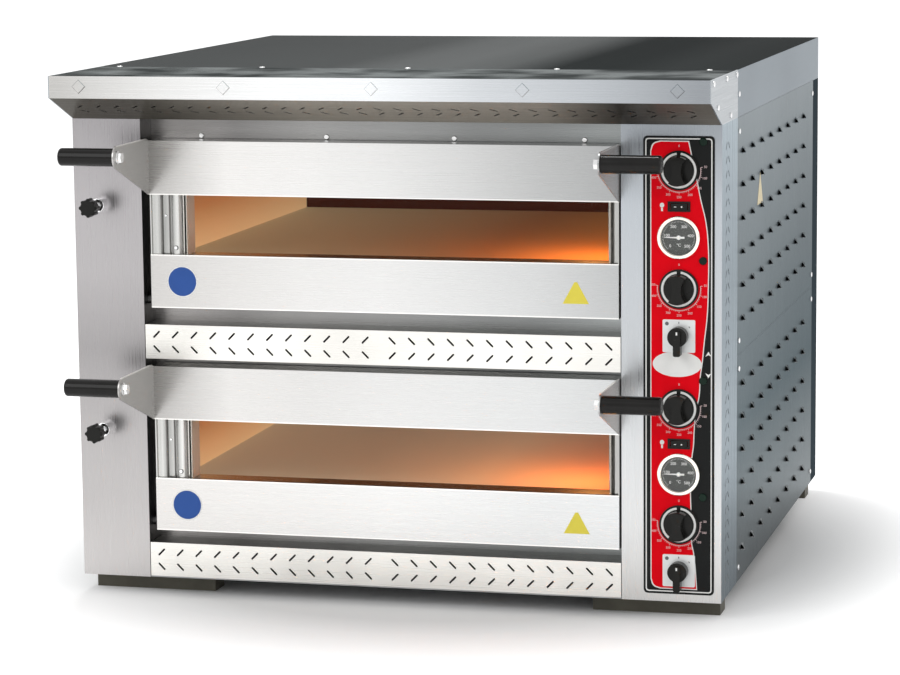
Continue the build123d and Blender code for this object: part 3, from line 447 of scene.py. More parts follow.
# tones of each sheet, from one end of its spread to the other; where they change along a sheet, they are
# painted reflections, highlights and shade
casing = {
    # painted reflections across the hood's front, lightest a little left of the middle
    "fascia": (tinted([0.53, 0.75, 0.90, 0.88, 0.64, 0.51, 0.34]), acrossCasing),
    "lidTop": (tinted([0.50, 0.52, 0.50], (0.9, 1.04, 1.03), (0.9, 1.04, 1.05)), acrossLid),
    "lidSide": (0.40, 0.445, 0.485),
    # painted shade on the hood's underside, darker towards its ends
    "under": (tinted([0.12, 0.11, 0.22, 0.36, 0.38, 0.38, 0.36, 0.05, 0.20],
                     (1.0, 0.93, 0.80), (1.0, 0.91, 0.79)), acrossCasing),
    "cheek": tinted([0.40], (0.93, 1.0, 1.06)),
    # painted reflections and shade up the front columns, darker towards the top
    "leftColumn": (tinted([0.54, 0.45, 0.40, 0.33, 0.42, 0.43, 0.36],
                          (1.0, 0.965, 0.955), (1.0, 0.96, 0.985)), upCasing),
    "rightColumn": (tinted([0.60, 0.61, 0.58, 0.49, 0.51, 0.50, 0.34],
                           (1, 0.995, 0.98), (0.93, 1, 1.08)), upCasing),
    # painted shade up the columns' outer sides, darker towards the bottom
    "columnSide": (tinted([0.26, 0.32, 0.41, 0.39, 0.37, 0.48, 0.60],
                          (0.92, 1, 1.05), (0.92, 1, 1.05)), upCasing),
    # painted shade on the column faces that look towards the doors, and on the left column's lowest faces
    "gap": tinted([0.10]),
    "side": (tinted([0.50] * 3, (1.0, 1.0, 1.0), (0.92, 1, 1.05)), upCasing),
    # painted shade and reflections across the frames above the doors
    "header": (tinted([0.34, 0.24, 0.36, 0.33, 0.28, 0.28, 0.33], (1, 0.96, 0.94), (0.95, 1, 1)),
               acrossFrame),
    # painted reflections along the strips below the doors
    "strip": (tinted([0.93, 0.93, 0.91, 0.88, 0.85, 0.84], (1, 0.98, 0.93), (1, 0.985, 0.94)),
              acrossStrip),
    # colour of the painted highlight along the door bands' top and bottom edges
    "rim": (1.0, 0.985, 0.95),
}
# tones across each door band, from left to right: painted reflections
doorBandReflections = {
    "upper_door_top_band": [0.45, 0.75, 0.75, 0.70, 0.60, 0.47, 0.38],
    "upper_door_bottom_band": [0.54, 0.63, 0.69, 0.70, 0.64, 0.57, 0.46],
    "lower_door_top_band": [0.41, 0.64, 0.62, 0.64, 0.63, 0.61, 0.55],
    "lower_door_bottom_band": [0.64, 0.67, 0.69, 0.71, 0.69, 0.66, 0.66],
}
# painted highlights and shade across the left upright of each door, from its outer edge inwards; reach: from
# and to along X, in metres
stileShading = {"reach": (-0.3535, -0.300),
         "tones": [0.62, 0.5, 0.56, 0.34, 0.36, 0.46, 0.40, 0.42, 0.68, 0.62, 0.62, 0.45]}


def plainSteel(name, light, grain=alongX, **more):
    return steel(name, [light], grain, **more)


lampTint = (0.98, 0.85, 0.6)             # the glass of the chamber lamps
finishes = {
    # the columns' faces that look towards the doors take painted shade, their outer sides painted shade that
    # darkens towards the bottom
    "leftColumn": steel("leftColumnSteel", casing["leftColumn"][0], alongZ, casing["leftColumn"][1],
                        faces={"right": (casing["gap"], None), "left": casing["columnSide"],
                               "down": (casing["gap"], None)}, clouds=(1.6, 0.12)),
    "rightColumn": steel("rightColumnSteel", casing["rightColumn"][0], alongZ, casing["rightColumn"][1],
                         faces={"left": (casing["gap"], None), "right": casing["columnSide"]},
                         clouds=(1.6, 0.08), grazing=(0.64, 0.72, 0.78), soft={"right": 0.5}),
    # the hood's top takes the lid's top tones, its underside painted shade
    "hood": steel("hoodSteel", casing["fascia"][0], alongX, casing["fascia"][1],
                  faces={"up": casing["lidTop"], "down": casing["under"]}, clouds=(2.0, 0.08),
                  rough=(0.2, 0.3), soft={"down": 0.8}),
    "lid": steel("lidSteel", [casing["lidSide"]], alongY, faces={"up": casing["lidTop"]},
                 rough=(0.12, 0.18), clouds=(2.0, 0.15), soft={"right": 0.85, "left": 0.85}),
    "cheek": steel("cheekSteel", casing["cheek"], alongY),
    "side": steel("sideSteel", casing["side"][0], alongZ, casing["side"][1], clouds=(2.0, 0.16)),
    # the strips' top faces are darker: painted shade below the doors
    "strip": steel("stripSteel", casing["strip"][0], alongX, casing["strip"][1],
                   faces={"up": (tinted([0.5]), None)}, clouds=(6.0, 0.2)),
    "frame": steel("frameSteel", casing["header"][0], alongX, casing["header"][1], clouds=(5.0, 0.18)),
    "rear": plainSteel("rearSteel", (0.42, 0.43, 0.44), alongZ, clouds=(20.0, 0.09), rough=(0.36, 0.5)),
    # across the left upright the tones paint highlights and the shade in its grooves; the side faces take
    # painted shade
    "pan": steel("panSteel", tinted(stileShading["tones"], (1, 1, 0.97), (1, 1, 0.97)), alongZ,
                 ("X", *stileShading["reach"]), rough=(0.2, 0.3), soft={"right": 0.9, "left": 0.9},
                 faces={"right": (tinted([0.62]), None), "left": (tinted([0.5]), None)}, clouds=(8.0, 0.15)),
    "bright": plainSteel("brightSteel", (0.82, 0.82, 0.82), rough=(0.12, 0.2)),
    # nearly black: the pins are darkened to paint the shade of the narrow gap they sit in
    "shadedPin": plainSteel("pinShadeSteel", (0.16, 0.16, 0.16), rough=(0.3, 0.4)),
    "zinc": plainSteel("zincSteel", (0.45, 0.46, 0.47), (60, 60, 60), rough=(0.4, 0.55), clouds=(25.0, 0.3),
                       metallic=0.85),
    "chrome": plainSteel("chromeSteel", (0.9, 0.9, 0.91), alongY, rough=(0.04, 0.08)),
    "plate": plainSteel("plateSteel", (0.80, 0.82, 0.82), rough=(0.3, 0.4), metallic=0.35),
    "bezel": plainSteel("bezelSteel", (0.95, 0.91, 0.84), rough=(0.12, 0.2)),
    "rod": plainSteel("rodSheath", (0.13, 0.115, 0.105), alongY, rough=(0.45, 0.6), metallic=0.7),
    "wool": mineral("wool", (0.72, 0.68, 0.58), (0.55, 0.52, 0.44), 500.0, 30.0, rough=0.9),
    "braid": mineral("braid", (0.16, 0.15, 0.15), (0.09, 0.09, 0.09), 900.0, 200.0),
    "ceramic": mineral("ceramic", (0.86, 0.85, 0.81), (0.78, 0.77, 0.72), 1200.0, 60.0, rough=0.4,
                       height=0.1),
    "foot": plastic("footCoat", (0.090, 0.085, 0.065), rough=0.55, pores=600.0),
    "panelBlack": ink("panelBlack", (0.010, 0.011, 0.011), 0.4, 0.12),
    "knob": plastic("knobBlack", (0.008, 0.008, 0.007), rough=0.22, pores=1400.0, bumpHeight=0.15,
                    specular=0.17),
    "grip": plastic("gripBlack", (0.006, 0.0055, 0.005), rough=0.12, pores=1000.0, bumpHeight=0.06,
                    specular=0.20),
    "nylon": plastic("nylon", (0.02, 0.02, 0.02), rough=0.45),
    "pilot": plastic("pilotGreen", (0.003, 0.016, 0.009), rough=0.18, pores=200.0, bumpHeight=0.05,
                     specular=0.15),
    "needle": ink("needleWhite", (0.88, 0.88, 0.86)),
    "windowGlass": clearGlass("windowGlass", (0.97, 0.94, 0.90)),
    "dialGlass": clearGlass("dialGlass", (0.98, 0.98, 0.98)),
    "lampGlass": clearGlass("lampGlass", lampTint, rough=0.2, ior=1.4),
}

# a thin tinted coat on the lid, the hood's top and the sides: hardly seen straight on, it takes the glare
# away
# at a low angle. lid: amounts from left to right, painting bands of lighter and darker reflection across it;
# side:
# amounts from the bottom up, painting bands of lighter and darker reflection up the sides; patches: the
# hood's amounts, and where its noise passes from one to the other; outward: how far a face leans towards the
# axis
glareCoat = {"ior": 1.001, "lidTint": (0.75, 0.76, 0.76), "sideTint": (0.748, 0.774, 0.784),
        "rearTint": (0.69, 0.715, 0.73), "outward": (0.5, 0.8),
        "lid": [0.90, 0.90, 0.895, 0.89, 0.885, 0.82, 0.805, 0.85, 0.985, 0.985, 0.967, 0.975],
        "side": [0.74, 0.86, 0.965, 0.90, 0.82, 0.72, 0.60],
        "patches": (0.94, 0.67), "patchEdge": (0.38, 0.62), "patchSize": 9.0}


def glareCoated(key, amount, axis, tint):
    # the coat lies on faces that look along the axis
    f = finishes[key]
    outward = f.remap(f.maths("ABSOLUTE", f.facing[axis]), *glareCoat["outward"])
    f.set(Coat_Weight=f.maths("MULTIPLY", amount, outward), Coat_IOR=glareCoat["ior"], Coat_Tint=tint)


# the coat's amounts along an axis; for the lid and the sides they paint bands of lighter and darker
# reflection
def amounts(key, axis, low, high):
    f = finishes[key]
    return f.ramp(f.axes[axis], low, high, [(w, w, w) for w in glareCoat[key]])


def hoodPatches():
    f = finishes["hood"]
    patch = noiseIn(f.tree, f.place, glareCoat["patchSize"], 2.0, 0.6)
    top = f.maths("GREATER_THAN", f.facing["Z"], 0.0)
    return f.maths("MULTIPLY", f.remap(patch, *glareCoat["patchEdge"], *glareCoat["patches"]), top)


glareCoated("hood", hoodPatches(), "Z", glareCoat["lidTint"])
glareCoated("lid", amounts("lid", *acrossLid), "Z", glareCoat["lidTint"])
glareCoated("side", amounts("side", *upCasing), "X", glareCoat["sideTint"])
glareCoated("rear", 1.0, "X", glareCoat["rearTint"])

# walls and stone inside the chambers, their colours painted with the warm light of the lamp at the right: the
# walls lighter low down, the rear wall dark with painted shade, the stone more orange towards its right end
# and lighter in the lower deck, both glowing with their own colour as painted light; fade: over what depth
# tones change
inside = {"floor": 0.166, "pitch": 0.322, "backWall": 0.262, "backFade": 0.002, "lens": 0.300,
          "lensFade": 0.001, "holder": (0.4, 0.4, 0.4), "between": (0.30, 0.31),
          "acrossStone": ("X", -0.32, 0.30),
          "wall": [(0.68, 0.50, 0.28), (0.58, 0.37, 0.19), (0.44, 0.22, 0.095), (0.36, 0.16, 0.065)],
          "wallHeight": 0.09, "back": (0.033, 0.007, 0.004), "wallGlow": 0.45, "stoneGlow": 0.35,
          "stone": {"upper": [(0.38, 0.32, 0.20), (0.29, 0.215, 0.13), (0.22, 0.11, 0.05),
                              (0.30, 0.14, 0.035)],
                    "lower": [(0.42, 0.36, 0.26), (0.40, 0.33, 0.24), (0.47, 0.39, 0.28),
                              (0.34, 0.14, 0.085)]}}


def lampHolder():
    # the lamp's holder is metal behind the chamber wall, its lens is glass
    f = finishes["lampGlass"]
    holder = f.remap(f.axes["X"], inside["lens"], inside["lens"] + inside["lensFade"])
    f.set(Metallic=holder, Base_Color=f.mixColour(holder, lampTint, inside["holder"]))


def wallFinish():
    # the wall's colour paints the lamp's light, lighter low down, with painted shade on the rear wall; it
    # glows with that colour though it is no lamp
    f = mineral("chamberWall", (1.0, 1.0, 1.0), (0.9, 0.9, 0.9), 120.0, 3.0, rough=0.6, height=0.1)
    height = f.maths("MODULO", f.maths("SUBTRACT", f.axes["Z"], inside["floor"]), inside["pitch"])
    colour = f.ramp(height, 0.0, inside["wallHeight"], inside["wall"])
    backShadeMask = f.remap(f.axes["Y"], inside["backWall"] - inside["backFade"], inside["backWall"])
    colour = f.mixColour(backShadeMask, colour, inside["back"])
    f.set(Base_Color=colour, Emission_Color=colour, Emission_Strength=inside["wallGlow"])
    return f


def stoneFinish():
    # the stone's colour paints the lamp's light, more orange towards its right end and lighter in the lower
    # deck; it glows with that colour though it is no lamp
    f = mineral("hearthStone", (1.0, 1.0, 1.0), (0.8, 0.8, 0.8), 700.0, 6.0, rough=0.7, height=0.3)
    axis, low, high = inside["acrossStone"]
    tones = [f.ramp(f.axes[axis], low, high, inside["stone"][deck]) for deck in decks]
    colour = f.mixColour(f.remap(f.axes["Z"], *inside["between"]), *tones)
    f.set(Base_Color=colour, Emission_Color=colour, Emission_Strength=inside["stoneGlow"])
    return f


lampHolder()
finishes["wall"] = wallFinish()
finishes["stone"] = stoneFinish()


def bandEdgeHighlight(node):
    # low edge, high edge, width and colour of the painted highlights along the band's top and bottom edges
    low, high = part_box(node)
    return low.z, high.z, 0.0022, casing["rim"]


nodeFinish = {
    "base_tray": "zinc", "foot_blocks": "foot", "front_column_left": "leftColumn",
    "front_column_right": "rightColumn", "hood": "hood", "hood_cheeks": "cheek", "top_panel": "lid",
    "side_panels_upper": "side",
    "side_panels_lower": "side", "rear_panel": "rear", "vent_strips": "strip", "chamber_frames": "frame",
    "chamber_liners": "wall", "chamber_insulation": "wool", "deck_shelves": "zinc", "hearth_stones": "stone",
    "heating_elements": "rod", "flue_ducts": "zinc", "door_seals": "braid", "hinge_pins": "shadedPin",
    "damper_sleeves": "chrome", "chamber_lamps": "lampGlass", "control_panel": "panelBlack",
    "thermostats": "zinc", "cam_switches": "plate", "rocker_housings": "knob", "thermometer_cases": "bezel",
    "thermometer_glasses": "dialGlass", "pilot_lamps": "pilot", "casing_screws": "bright",
    "terminal_block": "ceramic", "cable_gland": "nylon",
}
deckFinish = {
    "door_pan": "pan", "door_glass": "windowGlass", "door_insulation": "wool", "door_grips": "grip",
    "door_bolts": "bright", "top_thermostat_knob": "knob", "floor_thermostat_knob": "knob",
    "cam_switch_knob": "knob", "lamp_rocker": "knob", "thermometer_needle": "needle", "damper_knob": "knob",
    "damper_rod": "bright",
}
for deck in decks:
    nodeFinish.update({f"{deck}_{piece}": finish for piece, finish in deckFinish.items()})
# each band: painted reflections across it, painted shade on its end faces, and painted highlights along its
# top and bottom edges
for band, levels in doorBandReflections.items():
    finishes[band] = steel(band, tinted(levels, (1.0, 0.975, 0.95), (0.97, 0.985, 0.99)), alongX,
                           acrossFrame, clouds=(1.4, 0.04), rim=bandEdgeHighlight(band), rough=(0.24, 0.32),
                           faces={"left": (tinted([0.36]), None), "right": (tinted([0.5]), None)},
                           soft={"left": 0.85, "right": 0.4, "down": 0.8})
    nodeFinish[band] = band
for node, finish in nodeFinish.items():
    mesh = frame["nodes"][node].data
    if len(mesh.materials) == 0:
        mesh.materials.append(None)
    for i in range(len(mesh.materials)):
        mesh.materials[i] = finishes[finish].material
print("finishes on", len(nodeFinish), "nodes")


# tools for the new pieces
film = 0.0002            # thickness of a print or sticker
thinFilm = 0.0001        # and of the finest print, behind glass and on the switches
arcShare = 0.29          # how far the middle of a corner's arc stands in, as a share of its radius


def linked(name, mesh, finish, body):
    obj = bpy.data.objects.new(name, mesh)
    scene.collection.objects.link(obj)
    mesh.materials.clear()
    mesh.materials.append(finish.material)
    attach(obj, body)


def fromBmesh(name, bm, finish, body):
    bmesh.ops.recalc_face_normals(bm, faces=bm.faces)
    mesh = bpy.data.meshes.new(name)
    bm.to_mesh(mesh)
    bm.free()
    for polygon in mesh.polygons:
        polygon.use_smooth = False
    linked(name, mesh, finish, body)


standing = Matrix.Rotation(radians(90), 4, "X")      # turns a flat curve to face the front
facingRight = Matrix.Rotation(radians(90), 4, "Z") @ standing


def curveMesh(data, turn, place):
    obj = bpy.data.objects.new("draft", data)
    scene.collection.objects.link(obj)
    bpy.context.view_layer.update()
    mesh = bpy.data.meshes.new_from_object(obj)
    bpy.data.objects.remove(obj)
    mesh.transform(Matrix.Translation(place) @ turn)
    return mesh


def printed(name, outlines, finish, body, place, turn=standing):
    # closed outlines of (x, z, kind), kind being "corner" or "smooth", filled and given a thickness
    data = bpy.data.curves.new("outline", "CURVE")
    data.dimensions = "2D"
    data.fill_mode = "BOTH"
    data.resolution_u = 10
    data.extrude = film / 2
    for outline in outlines:
        spline = data.splines.new("BEZIER")
        spline.bezier_points.add(len(outline) - 1)
        spline.use_cyclic_u = True
        for point, (x, z, kind) in zip(spline.bezier_points, outline):
            point.co = (x, z, 0)
            handle = "AUTO" if kind == "smooth" else "VECTOR"
            point.handle_left_type = handle
            point.handle_right_type = handle
    linked(name, curveMesh(data, turn, place), finish, body)


def roundedBox(x0, x1, z0, z1, radius):
    k = radius * arcShare
    return [(x0 + radius, z0, "corner"), (x1 - radius, z0, "corner"), (x1 - k, z0 + k, "smooth"),
            (x1, z0 + radius, "corner"), (x1, z1 - radius, "corner"), (x1 - k, z1 - k, "smooth"),
            (x1 - radius, z1, "corner"), (x0 + radius, z1, "corner"), (x0 + k, z1 - k, "smooth"),
            (x0, z1 - radius, "corner"), (x0, z0 + radius, "corner"), (x0 + k, z0 + k, "smooth")]


def oval(radiusX, radiusZ, x=0.0, z=0.0, count=16):
    return [(x + radiusX * cos(a), z + radiusZ * sin(a), "smooth")
            for a in (radians(360 * i / count) for i in range(count))]


def addWords(bm, text, size, place, thickness=film):
    data = bpy.data.curves.new("text", "FONT")
    data.body = text
    data.size = size
    data.align_x = "CENTER"
    data.align_y = "CENTER"
    data.extrude = thickness / 2
    data.resolution_u = 3
    mesh = curveMesh(data, standing, place)
    bm.from_mesh(mesh)
    bpy.data.meshes.remove(mesh)


def addBar(bm, centre, size, angle=0.0):
    # thin bar turned in the plane of the panel
    turn = Matrix.Translation(centre) @ Matrix.Rotation(-radians(angle), 4, "Y")
    bmesh.ops.create_cube(bm, size=1.0, matrix=turn @ Matrix.Diagonal((*size, 1)))


def pushForward(bm, faces, thickness):
    grown = bmesh.ops.extrude_face_region(bm, geom=faces)
    bmesh.ops.translate(bm, verts=[v for v in grown["geom"] if isinstance(v, bmesh.types.BMVert)],
                        vec=(0, -thickness, 0))


def addDisc(bm, centre, radius, thickness, segments):
    made = bmesh.ops.create_circle(bm, cap_ends=True, radius=radius, segments=segments,
                                   matrix=Matrix.Translation(centre) @ standing)
    pushForward(bm, list({face for vert in made["verts"] for face in vert.link_faces}), thickness)


def arcPiece(name, centre, inner, outer, start, sweep, finish, body, thickness=film, steps=48):
    # part of a flat ring facing the front; angles from +X towards +Z
    bm = bmesh.new()
    a = radians(start)
    ends = [bm.verts.new((centre[0] + r * cos(a), centre[1], centre[2] + r * sin(a)))
            for r in (inner, outer)]
    edge = bm.edges.new(ends)
    bmesh.ops.spin(bm, geom=[*ends, edge], cent=centre, axis=(0, -1, 0), angle=radians(sweep), steps=steps,
                   use_merge=abs(sweep) >= 360, use_duplicate=False)
    pushForward(bm, bm.faces[:], thickness)
    fromBmesh(name, bm, finish, body)


white = ink("inkWhite", (0.92, 0.92, 0.90))
pinkWhite = ink("inkPinkWhite", (0.86, 0.66, 0.66))
red = ink("inkRed", (0.86, 0.002, 0.010), 0.42, 0.05)
dialDark = ink("dialDark", (0.10, 0.105, 0.10), 0.5)
greyInk = ink("inkGrey", (0.16, 0.17, 0.18))
blueInk = ink("inkBlue", (0.035, 0.105, 0.38))
yellowInk = ink("inkYellow", (0.88, 0.76, 0.10))
paleYellow = ink("inkPaleYellow", (0.80, 0.68, 0.42))

# printed control panel; places are measured from the board's lower left corner
boardLow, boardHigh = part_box("control_panel")
board = {"lineInset": 0.0030, "line": 0.0016, "lineCorners": (0.004, 0.003), "redLeft": 0.0098,
         "redTop": 0.0065, "redBottom": 0.0070, "corner": 0.013, "outline": 0.0014, "layer": 0.00018,
         "oval": (0.0339, 0.0176, 0.0470, 0.3211)}     # half width, half height, place along and up
arrows = {"x": 0.0900, "up": (0.3325, 0.3395), "down": (0.3098, 0.3028), "half": 0.0042, "notch": 0.0022}
# right edge of the red field, from top to bottom
redEdge = [(0.0632, 0.6265), (0.0685, 0.6012), (0.0742, 0.575), (0.0798, 0.547), (0.0868, 0.517),
           (0.0903, 0.4825), (0.0903, 0.425), (0.0890, 0.389), (0.0850, 0.3525), (0.0822, 0.3243),
           (0.0795, 0.3045), (0.0781, 0.279), (0.0732, 0.2535), (0.0711, 0.228), (0.0702, 0.2083),
           (0.0683, 0.194), (0.0663, 0.165), (0.0663, 0.137), (0.0670, 0.117), (0.0678, 0.0728),
           (0.0706, 0.0586), (0.0750, 0.0070)]
wide = boardHigh.x - boardLow.x
tall = boardHigh.z - boardLow.z
panelY = boardLow.y


def layerY(count):
    return panelY - count * board["layer"]


def onBoard(name, outlines, finish, count):
    printed(name, outlines, finish, "casing", (boardLow.x, layerY(count), boardLow.z))


def redField(grow):
    left = board["redLeft"] - grow
    top = tall - board["redTop"] + grow
    base = board["redBottom"] - grow
    r = board["corner"]
    k = r * arcShare
    shape = [(left, base + r, "corner"), (left, top - r, "corner"), (left + k, top - k, "smooth"),
             (left + r, top, "corner")]
    ends = (0, len(redEdge) - 1)
    shape += [(x + grow, min(max(z, base), top), "corner" if i in ends else "smooth")
              for i, (x, z) in enumerate(redEdge)]
    return shape + [(left + r, base, "corner"), (left + k, base + k, "smooth")]


outer = board["lineInset"]
inner = outer + board["line"]
outerCorner, innerCorner = board["lineCorners"]
onBoard("panelFrameLine", [roundedBox(outer, wide - outer, outer, tall - outer, outerCorner),
                           roundedBox(inner, wide - inner, inner, tall - inner, innerCorner)], white, 1)
onBoard("redFieldEdge", [redField(0.0)], white, 1)
onBoard("redField", [redField(-board["outline"])], red, 2)
onBoard("blankOval", [oval(*board["oval"])], white, 3)
for name in ("up", "down"):
    base, tip = arrows[name]
    notch = base + (arrows["notch"] if tip > base else -arrows["notch"])
    corners = ((-arrows["half"], base), (0, tip), (arrows["half"], base), (0, notch))
    onBoard(f"arrow_{name}", [[(arrows["x"] + x, z, "corner") for x, z in corners]], white, 2)
print("control panel printed")

# scales round the thermostat knobs, and the broken ring on each knob's skirt
scale = {"first": 8, "last": -188, "numbers": 9, "stepValue": 50, "fine": 40, "inner": 0.0292,
         "outer": 0.0300, "tick": (0.0026, film, 0.0007), "shortTick": (0.0026 * 0.55, film, 0.0004),
         "textRadius": 0.0365, "textSize": 0.0045, "zeroHeight": 0.0330}
knobRing = {"inner": 0.0212, "outer": 0.0243, "gap": 14, "height": 0.0003, "behind": 0.003, "steps": 72}


def thermostatScale(name, centre):
    bm = bmesh.new()
    middle = Vector((centre.x, layerY(3), centre.z))
    sweep = scale["last"] - scale["first"]

    def spot(share, r):
        a = radians(scale["first"] + sweep * share)
        return middle + Vector((r * cos(a), 0, r * sin(a)))

    for i in range(scale["fine"] + 1):
        share = i / scale["fine"]
        size = scale["tick" if i % 5 == 0 else "shortTick"]
        addBar(bm, spot(share, scale["outer"] + size[0] / 2), size, scale["first"] + sweep * share)
    for i in range(scale["numbers"]):
        addWords(bm, str(scale["stepValue"] * (i + 1)), scale["textSize"],
                 spot(i / (scale["numbers"] - 1), scale["textRadius"]))
    addWords(bm, "0", scale["textSize"], middle + Vector((0, 0, scale["zeroHeight"])))
    fromBmesh(f"{name}Marks", bm, pinkWhite, "casing")
    arcPiece(f"{name}Arc", middle, scale["inner"], scale["outer"], scale["first"], sweep, pinkWhite,
             "casing")


def skirtRing(name, centre, knob):
    # its gap is at the top
    place = Vector((centre.x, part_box(knob)[1].y - knobRing["behind"], centre.z))
    arcPiece(name, place, knobRing["inner"], knobRing["outer"], 90 + knobRing["gap"] / 2,
             360 - knobRing["gap"], white, knob, knobRing["height"], knobRing["steps"])


for deck in decks:
    for knob in ("top_thermostat", "floor_thermostat"):
        centre = joints[f"{deck}_{knob}_turn"]
        thermostatScale(f"{deck}_{knob}Scale", centre)
        skirtRing(f"{deck}_{knob}Ring", centre, f"{deck}_{knob}_knob")
print("thermostat scales printed")

# thermometer dials, lamp symbols, switch plates and rocker marks
dial = {"radius": 0.0246, "behindCase": 0.0044, "inkLift": 0.0003, "figureRadius": 0.0165,
        "figureSize": 0.0056, "tickOuter": 0.0225, "tick": 0.0026, "shortTick": 0.0026 * 0.6,
        "tickWidth": 0.0004, "ticks": 50,
        "start": 225, "sweep": -270, "figures": ("0", "100", "200", "300", "400", "500"),
        "unitSize": 0.0058, "unitDrop": 0.0105, "segments": 64}
plate = {"dot": (-0.0165, 0.0170), "dotRadius": 0.0026, "ticks": ((0, 0.0185, 0), (0.0145, 0.0125, 40)),
         "tick": (0.0012, thinFilm, 0.0026), "behindKnob": 0.0004, "pointer": (0.0022, 0.0004, 0.0042),
         "pointerLift": 0.0058, "pointerFront": 0.0001}
symbol = {"x": -0.0235, "bulb": (0.0030, 0.0033), "bulbLift": 0.0015, "stem": (0.0013, -0.0066, -0.0022)}
rockerMarks = {"x": 0.0045, "dash": (0.0032, film, 0.0009), "dot": 0.0011}
dotSegments = 20


def thermometerDial(deck):
    centre = joints[f"{deck}_thermometer_turn"]
    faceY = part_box("thermometer_cases")[0].y + dial["behindCase"]
    inkY = faceY - dial["inkLift"]
    bm = bmesh.new()
    addDisc(bm, (centre.x, faceY, centre.z), dial["radius"], film, dial["segments"])
    fromBmesh(f"{deck}_dialFace", bm, dialDark, "casing")

    def spot(angle, r):
        a = radians(angle)
        return centre.x + r * cos(a), inkY, centre.z + r * sin(a)

    bm = bmesh.new()
    for i in range(dial["ticks"] + 1):
        angle = dial["start"] + dial["sweep"] * i / dial["ticks"]
        length = dial["tick" if i % 10 == 0 else "shortTick"]
        addBar(bm, spot(angle, dial["tickOuter"] - length / 2), (length, thinFilm, dial["tickWidth"]), angle)
    for i, text in enumerate(dial["figures"]):
        angle = dial["start"] + dial["sweep"] * i / (len(dial["figures"]) - 1)
        addWords(bm, text, dial["figureSize"], spot(angle, dial["figureRadius"]), thinFilm)
    addWords(bm, "°C", dial["unitSize"], (centre.x, inkY, centre.z - dial["unitDrop"]), thinFilm)
    fromBmesh(f"{deck}_dialFigures", bm, white, "casing")


def lampSymbol(deck, rocker):
    half, foot, shoulder = symbol["stem"]
    stem = [(-half, shoulder, "corner"), (half, shoulder, "corner"), (half, foot, "corner"),
            (-half, foot, "corner")]
    printed(f"{deck}_lampSymbol", [oval(*symbol["bulb"], 0.0, symbol["bulbLift"]), stem], white, "casing",
            (rocker.x + symbol["x"], layerY(3), rocker.z))


def markRocker(deck, rocker):
    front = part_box(f"{deck}_lamp_rocker")[0].y
    bm = bmesh.new()
    addBar(bm, (rocker.x - rockerMarks["x"], front, rocker.z), rockerMarks["dash"])
    addDisc(bm, (rocker.x + rockerMarks["x"], front, rocker.z), rockerMarks["dot"], film, dotSegments)
    fromBmesh(f"{deck}_rockerMarks", bm, white, f"{deck}_lamp_rocker")


def markSwitch(deck):
    cam = joints[f"{deck}_cam_switch_turn"]
    camLow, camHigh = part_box(f"{deck}_cam_switch_knob")
    plateY = camHigh.y + plate["behindKnob"]
    bm = bmesh.new()
    dotX, dotZ = plate["dot"]
    addDisc(bm, (cam.x + dotX, plateY, cam.z + dotZ), plate["dotRadius"], thinFilm, dotSegments)
    for x, z, angle in plate["ticks"]:
        addBar(bm, (cam.x + x, plateY, cam.z + z), plate["tick"], angle)
    fromBmesh(f"{deck}_switchMarks", bm, greyInk, "casing")
    bm = bmesh.new()
    addBar(bm, (cam.x, camLow.y - plate["pointerFront"], cam.z + plate["pointerLift"]), plate["pointer"])
    fromBmesh(f"{deck}_switchPointer", bm, white, f"{deck}_cam_switch_knob")


for deck in decks:
    rocker = joints[f"{deck}_lamp_rocker_tilt"]
    thermometerDial(deck)
    lampSymbol(deck, rocker)
    markRocker(deck, rocker)
    markSwitch(deck)
print("dials and switches marked")

# plain stickers, without any sign on them
sticker = {"disc": 0.0222, "rim": 0.0016, "discX": -0.307, "triangleX": 0.262, "triangleDrop": 0.003,
           "side": 0.037, "tall": 0.030, "tip": 0.002, "lift": 0.00012}
sideSticker = {"x": 0.465, "y": -0.081, "z": 0.566, "width": 0.052, "height": 0.046}


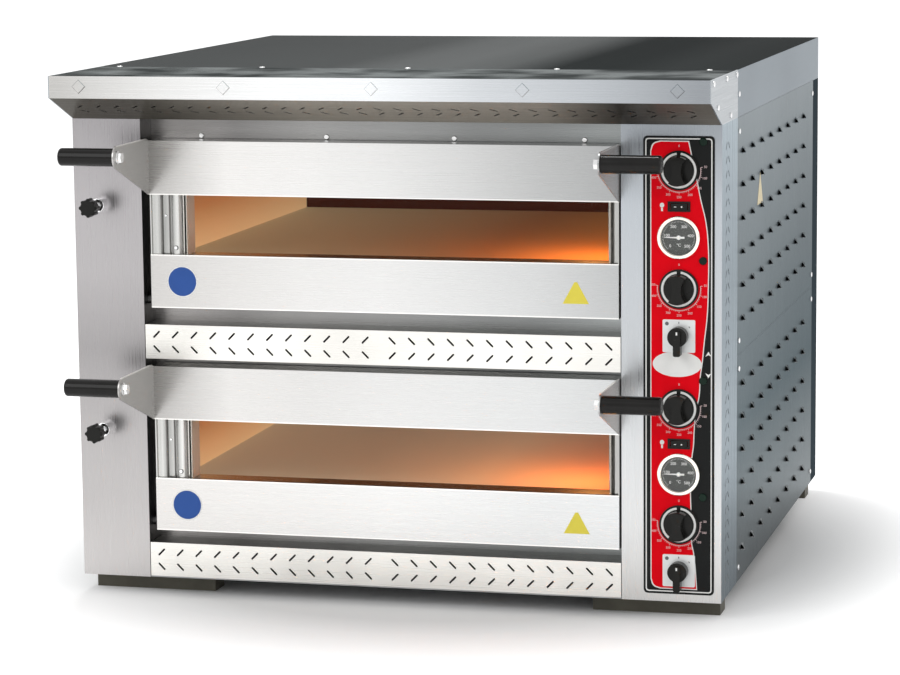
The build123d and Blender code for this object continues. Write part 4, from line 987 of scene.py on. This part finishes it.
def doorStickers(deck):
    low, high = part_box(f"{deck}_door_bottom_band")
    z = (low.z + high.z) / 2
    for name, radius, finish, count in (("Edge", sticker["disc"], white, 1),
                                        ("", sticker["disc"] - sticker["rim"], blueInk, 2)):
        printed(f"{deck}_roundSticker{name}", [oval(radius, radius)], finish, f"{deck}_door",
                (sticker["discX"], low.y - count * sticker["lift"], z))
    s, h, tip = sticker["side"] / 2, sticker["tall"] / 2, sticker["tip"]
    triangle = [(-s, -h, "corner"), (s, -h, "corner"), (tip, h, "corner"), (-tip, h, "corner")]
    printed(f"{deck}_yellowSticker", [triangle], yellowInk, f"{deck}_door",
            (sticker["triangleX"], low.y - sticker["lift"], z - sticker["triangleDrop"]))


for deck in decks:
    doorStickers(deck)
s, h = sideSticker["width"] / 2, sideSticker["height"] / 2
printed("sideSticker", [[(-s, -h, "corner"), (s, -h, "corner"), (0, h, "corner")]], paleYellow, "casing",
        (sideSticker["x"] + sticker["lift"], sideSticker["y"], sideSticker["z"]), facingRight)
print("stickers placed")

# pan-head screws in the door stiles; places: x, height, radius, how far behind the band's face
stileScrews = {"places": ((-0.3323, 0.2247, 0.0022, 0.0084), (-0.3170, 0.1794, 0.0036, 0.0046)),
               "head": 0.0016, "topShare": 0.7, "segments": 20}
for deck in decks:
    shift = 0.0 if deck == "lower" else inside["pitch"]
    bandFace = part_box(f"{deck}_door_bottom_band")[0].y
    bm = bmesh.new()
    for x, z, radius, behind in stileScrews["places"]:
        bmesh.ops.create_cone(bm, cap_ends=True, segments=stileScrews["segments"], radius1=radius,
                              radius2=radius * stileScrews["topShare"], depth=stileScrews["head"],
                              matrix=Matrix.Translation((x, bandFace + behind, z + shift)) @ standing)
    fromBmesh(f"{deck}_stileScrews", bm, finishes["bright"], f"{deck}_door")
print("stile screws placed")

# light of the chamber lamps
chamberLight = {"power": 1.8, "colour": (1.0, 0.42, 0.12), "radius": 0.02, "fromLens": 0.03, "lamp": 0.026}
for deck in decks:
    low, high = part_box("chamber_lamps")
    data = bpy.data.lights.new(f"{deck}_chamberLight", "POINT")
    data.energy = chamberLight["power"]
    data.color = chamberLight["colour"]
    data.shadow_soft_size = chamberLight["radius"]
    lamp = bpy.data.objects.new(f"{deck}_chamberLight", data)
    z = low.z + chamberLight["lamp"] if deck == "lower" else high.z - chamberLight["lamp"]
    lamp.location = (low.x - chamberLight["fromLens"], (low.y + high.y) / 2, z)
    scene.collection.objects.link(lamp)
print("chambers lit")

low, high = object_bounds()
